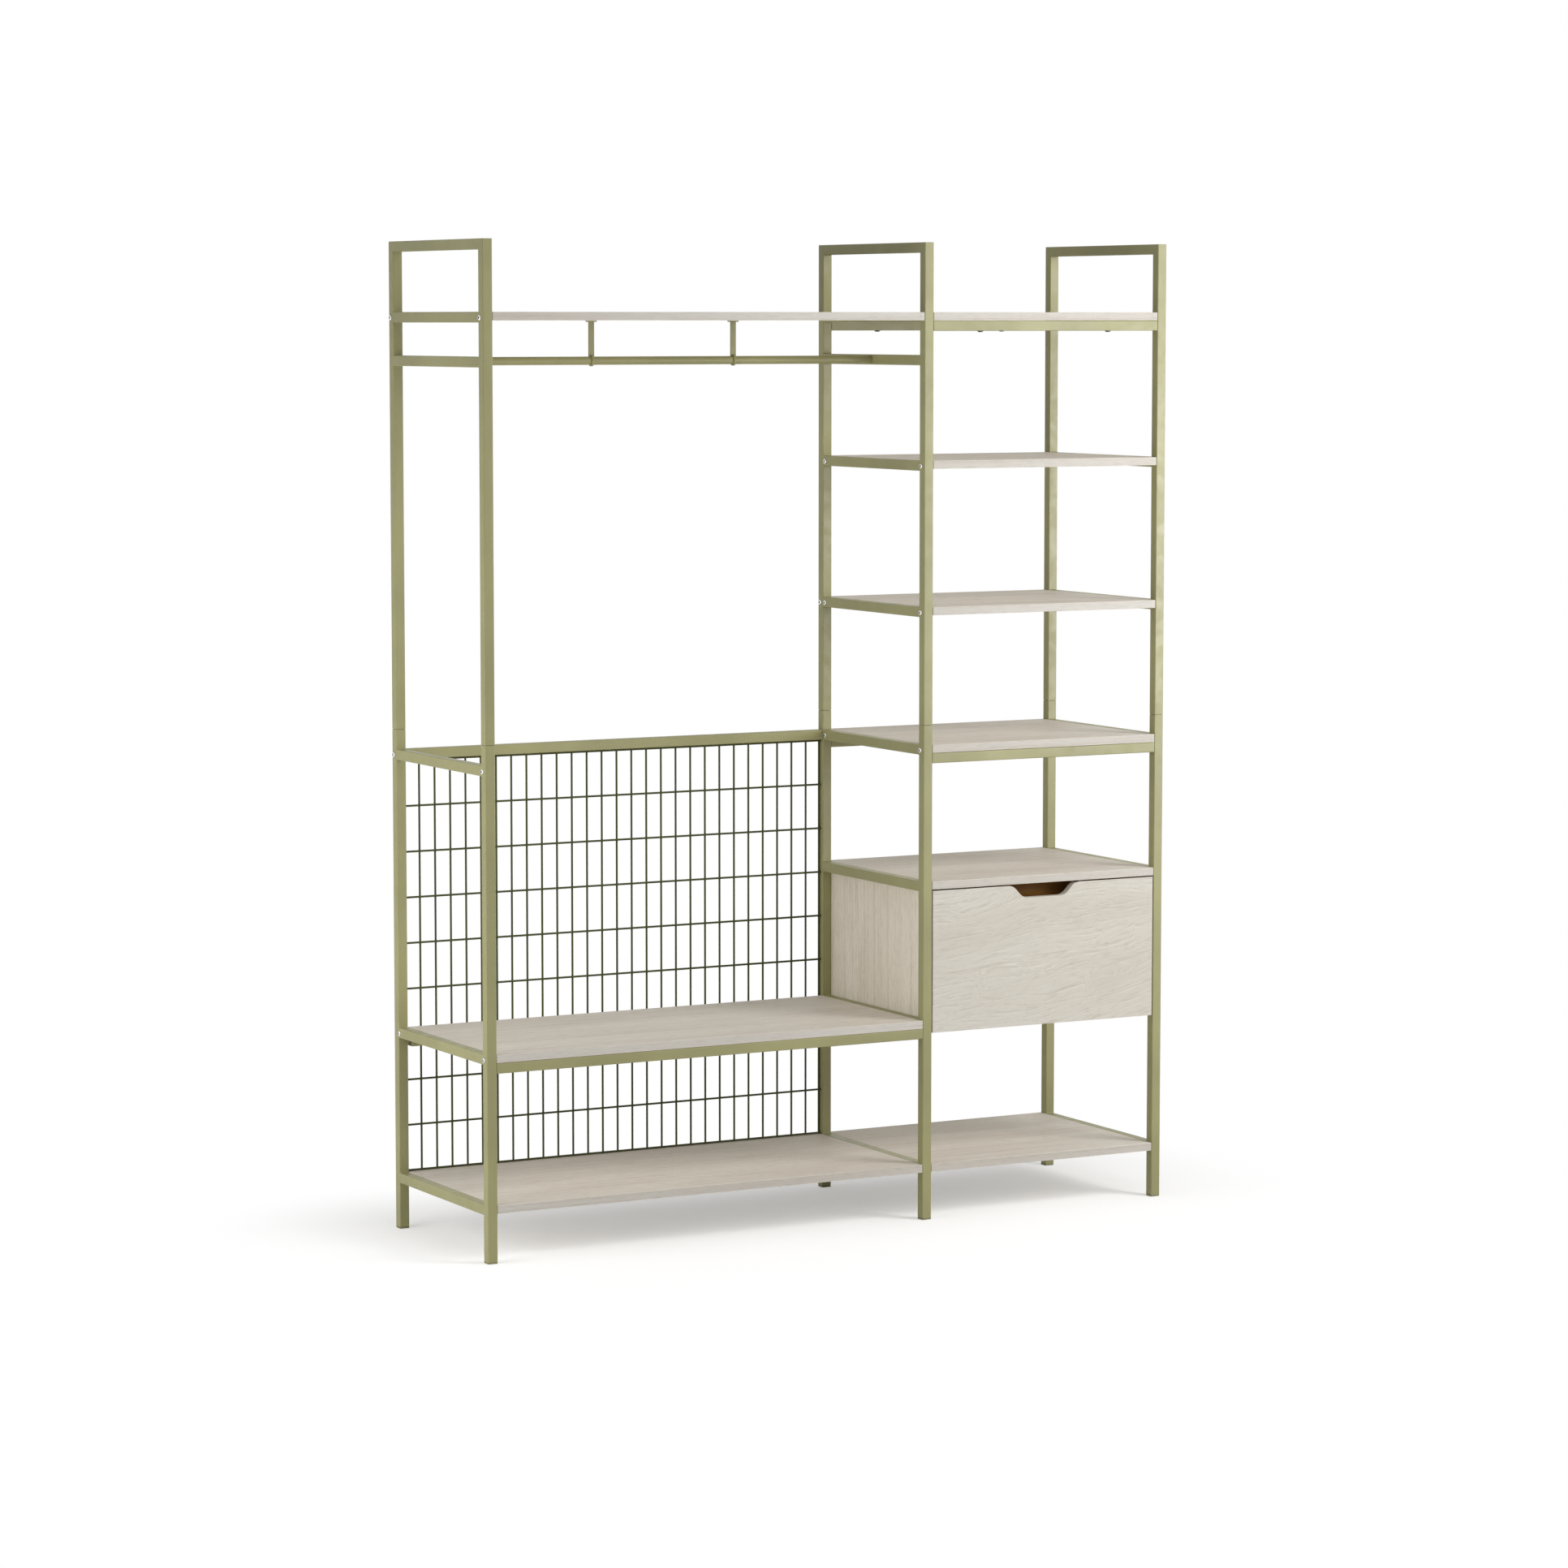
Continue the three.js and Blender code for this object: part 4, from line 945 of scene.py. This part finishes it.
def pan_screw(centre, axis):
    """A screw turned about its axis: shank, washer, and a pan head with an arc for its edge and a dished crown."""
    foot_chamfer, top_chamfer = WASHER_CHAMFERS
    profile = np.concatenate([
        [[PAN_RADIUS * PAN_SHANK, -PAN_SHANK_DEPTH], [WASHER_RADIUS - foot_chamfer, 0.0],
         [WASHER_RADIUS, foot_chamfer], [WASHER_RADIUS, WASHER_THICK - top_chamfer],
         [WASHER_RADIUS - top_chamfer, WASHER_THICK], [PAN_RADIUS, WASHER_THICK]],
        arc(PAN_RADIUS - PAN_EASE, PAN_HEIGHT - PAN_EDGE_DROP, PAN_EASE, 0, 90, steps=4),
        [[PAN_RADIUS * share, PAN_HEIGHT + rise] for share, rise in (PAN_LIP, PAN_DISH)],
    ])
    return shell(turned(profile, PAN_SIDES, centre, axis))


def rail_screws():
    """Four screws up through the top rails into the board."""
    shells = []
    for name in ("top_rail_front", "top_rail_back"):
        low, _, _, centre = node_sizes(name)
        shells += [pan_screw((x, centre[1], low[2]), (0, 0, -1)) for x in RAIL_SCREW_X]
    piece("top_rail_screws", shells, [screw_steel])


def foot(name):
    """A plug under a leg: a flange with rounded edges and a stem inside the tube."""
    low, high, size, centre = node_sizes(name)
    flange = rounded_rectangle(*size[:2], FLANGE_CORNER, steps=4) + centre[:2]
    stem = rounded_rectangle(STEM_SIDE, STEM_SIDE, STEM_CORNER) + centre[:2]
    shells = [slab(flange, "z", low[2], low[2] + FLANGE_THICK, FLANGE_EASE),
              slab(stem, "z", low[2] + STEM_START, high[2], STEM_EASE)]
    piece(f"{name}_plug", shells, [foot_plastic], replaces=[name])


for side in FRAME_X:
    frame_bolts(side)
rail_screws()
for name in sorted(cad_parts):
    if name.startswith("foot_"):
        foot(name)


# Runners

# Which way each runner faces, out from the back of its outer channel
RUNNER_SIDES = {"left": 1, "right": -1}
BALL = 3.3 * MM
BALL_PITCH = 12 * MM
BALL_ROW_START, BALL_ROW_END = 8 * MM, 4 * MM
BALL_POLE = 0.25
BALL_RINGS = 6
BALL_SIDES = 10
CAGE_WALL = 0.7 * MM
CAGE_EASE = 0.12 * MM
CAGE_REACH = 1.6 * MM
CAGE_START, CAGE_END = -182 * MM, -22 * MM
# Depth from the back of the outer channel to the balls and to the cage's web, the balls' height off the middle, and
# the body that the cage rides on
CAGES = {
    "runner_outer": (5.4 * MM, 1.7 * MM, 19.6 * MM, "frame"),
    "runner_middle": (7.4 * MM, 4.25 * MM, 15.0 * MM, "runner_middles"),
}


def ball_cage(member, side):
    """A steel U strip that holds two rows of balls between two channels, and the balls: spheres whose ring radii and
    heights are the sine and cosine of one angle. It lies where the channels overlap, open or shut."""
    ball_depth, web, rise, body = CAGES[member]
    way = RUNNER_SIDES[side]
    low, high, _, (_, _, level) = node_sizes(f"runner_outer_{side}")
    back = low[0] if way > 0 else high[0]
    reach, half, inner = ball_depth + CAGE_REACH, rise + CAGE_WALL / 2, rise - CAGE_WALL / 2
    profile = np.array([[web, -half], [reach, -half], [reach, -inner], [web + CAGE_WALL, -inner],
                        [web + CAGE_WALL, inner], [reach, inner], [reach, half], [web, half]])
    outline = profile * [way, 1] + [back, level]
    strip = slab(outline[::way], "y", CAGE_START, CAGE_END, CAGE_EASE, steps=1)
    angle = np.linspace(BALL_POLE, np.pi - BALL_POLE, BALL_RINGS)
    sphere = turned(np.stack([BALL / 2 * np.sin(angle), BALL / 2 * np.cos(angle)], -1), BALL_SIDES, (0, 0, 0),
                    (0, 1, 0))
    rows = np.arange(CAGE_START + BALL_ROW_START, CAGE_END - BALL_ROW_END, BALL_PITCH)
    balls = [shell(sphere + np.array([back + way * ball_depth, row, level + turn * rise]))
             for row in rows for turn in (-1, 1)]
    piece(f"{member}_cage_{side}", [strip], [runner_zinc], body=body)
    piece(f"{member}_balls_{side}", balls, [ball_steel], body=body, smooth=80, normals=False)


for side in RUNNER_SIDES:
    for member in CAGES:
        ball_cage(member, side)


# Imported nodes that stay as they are, and only take a finish
CARRIED = {"drawer_side_left": side_oak, "drawer_side_right": side_oak, "drawer_back": front_oak,
           "drawer_bottom": board_oak}
CARRIED.update({name: runner_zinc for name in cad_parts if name.startswith("runner_")})
for name, material in CARRIED.items():
    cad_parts[name].data.materials.clear()
    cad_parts[name].data.materials.append(material)


# Stage, lamps and camera

# Floor: half sides of the rectangle that keeps the shadow, the distances between which the floor then turns white,
# the share of light that it scatters, and its own glow
FLOOR_RADII = np.array([14.0, 7.0, 1.4])
FLOOR_SIDES = 96
FLOOR_CORE = (0.68, 0.16)
FLOOR_FADE = (0.0, 0.5)
FLOOR_ALBEDO = 0.88
FLOOR_GLOW = 0.33
AMBIENT = 0.31

# Lamps: name, place, target, width, height and watts
LAMPS = (
    ("key light, right front", (1.9, -2.2, 2.0), (0.1, 0, 0.95), 1.2, 1.8, 53),
    ("high light, front", (-0.3, -2.7, 3.1), (0, 0, 0.8), 2.0, 1.4, 16),
    ("low light, left", (-2.0, -0.35, 0.75), (0, 0, 0.75), 1.0, 1.2, 11),
    ("low light, left back", (-2.6, 0.5, 0.9), (0, 0, 0.8), 1.2, 1.2, 5.5),
)
GLEAM = ("gleam on the coat, right front", (2.55, -2.7, 1.12), (0.74, -0.2, 1.35), 1.0, 0.8, 97)

# Camera, as solved from the corners of the frames in the photograph: angles in degrees, lens and sensor in millimetres
CAMERA_PLACE = (-4.5107, -8.3151, 1.7689)
CAMERA_YAW = 28.473
CAMERA_PITCH = 5.510
CAMERA_CLIP = 100.0
SENSOR = 36.0
FOCAL_PIXELS, WIDTH_PIXELS = 5920.42, 1932
LENS = SENSOR * FOCAL_PIXELS / WIDTH_PIXELS


def seen(tree):
    """1 for a ray from the camera and for a glossy or transmitted one, and 0 for the rays that light a surface."""
    path = add(tree, "LightPath").outputs
    shown = math_node(tree, "MAXIMUM", path["Is Camera Ray"], path["Is Glossy Ray"])
    return math_node(tree, "MAXIMUM", shown, path["Is Transmission Ray"])


def floor_material():
    """A pale floor that keeps its shadow. To the camera and to glossy rays it also glows a little, and away from a
    rectangle under the wardrobe it turns into the white of the background. The distance is the length of how far a
    point lies outside the rectangle along X and along Y."""
    material = bpy.data.materials.new("pale floor")
    material.use_nodes = True
    tree = material.node_tree
    tree.nodes.clear()
    shown = seen(tree)
    size = vector_node(tree, "ABSOLUTE", add(tree, "TexCoord").outputs["Object"]).outputs[0]
    beyond = vector_node(tree, "SUBTRACT", size, (*FLOOR_CORE, 0)).outputs[0]
    outside = vector_node(tree, "MAXIMUM", beyond).outputs[0]
    distance = vector_node(tree, "LENGTH", outside).outputs["Value"]
    far = product(tree, ramp(tree, distance, *FLOOR_FADE), shown)
    matte = add(tree, "BsdfDiffuse", {"Color": (FLOOR_ALBEDO, FLOOR_ALBEDO, FLOOR_ALBEDO, 1)})
    glow = add(tree, "Emission", {"Strength": product(tree, shown, FLOOR_GLOW)})
    near = add(tree, "AddShader", {0: matte.outputs[0], 1: glow.outputs[0]})
    white = add(tree, "Emission", {"Strength": 1.0})
    mixed = add(tree, "MixShader", {0: far, 1: near.outputs[0], 2: white.outputs[0]})
    add(tree, "OutputMaterial", {"Surface": mixed.outputs[0]})
    return material


def floor():
    """A disc just under the feet, as concentric circles round a closed middle."""
    points = np.concatenate([FLOOR_RADII[:, None, None] * circle(1.0, FLOOR_SIDES)[None],
                             np.zeros((len(FLOOR_RADII), FLOOR_SIDES, 1))], -1)
    points, faces, _ = shell(points)
    mesh = bpy.data.meshes.new("floor")
    mesh.from_pydata(points.tolist(), [], faces[:-2] + faces[-1:])
    mesh.materials.append(floor_material())
    made = placed("floor", mesh)


def backdrop():
    """White to the camera and to glossy and transmitted rays, and an even ambient light to all others."""
    world = bpy.data.worlds.new("studio")
    bpy.context.scene.world = world
    world.use_nodes = True
    tree = world.node_tree
    background = tree.nodes["Background"]
    background.inputs["Color"].default_value = (1, 1, 1, 1)
    tree.links.new(ramp(tree, seen(tree), 0.0, 1.0, AMBIENT, 1.0), background.inputs["Strength"])


def look_from(made, place, direction):
    """Puts a lamp or the camera at its place, facing along a direction."""
    made.location = place
    made.rotation_mode = "QUATERNION"
    made.rotation_quaternion = direction.to_track_quat("-Z", "Y")


def area_light(name, place, target, width, height, watts):
    """A rectangular white lamp that faces its target."""
    data = bpy.data.lights.new(name, "AREA")
    data.shape = "RECTANGLE"
    data.size, data.size_y = width, height
    data.energy = watts
    made = placed(name, data)
    look_from(made, place, Vector(target) - Vector(place))
    return made


def camera():
    """The photograph's view: from the front left, a little above the middle, looking slightly down."""
    data = bpy.data.cameras.new("camera")
    data.lens, data.sensor_width, data.clip_end = LENS, SENSOR, CAMERA_CLIP
    made = placed("camera", data)
    yaw, pitch = math.radians(CAMERA_YAW), math.radians(CAMERA_PITCH)
    ahead = Vector((math.sin(yaw) * math.cos(pitch), math.cos(yaw) * math.cos(pitch), -math.sin(pitch)))
    look_from(made, CAMERA_PLACE, ahead)
    bpy.context.scene.camera = made


floor()
backdrop()
for lamp in LAMPS:
    area_light(*lamp)
# The gleam shows only where the coat mirrors it, and gives the matt surfaces no light
area_light(*GLEAM).visible_diffuse = False
camera()
bpy.context.scene.view_settings.view_transform = "Standard"
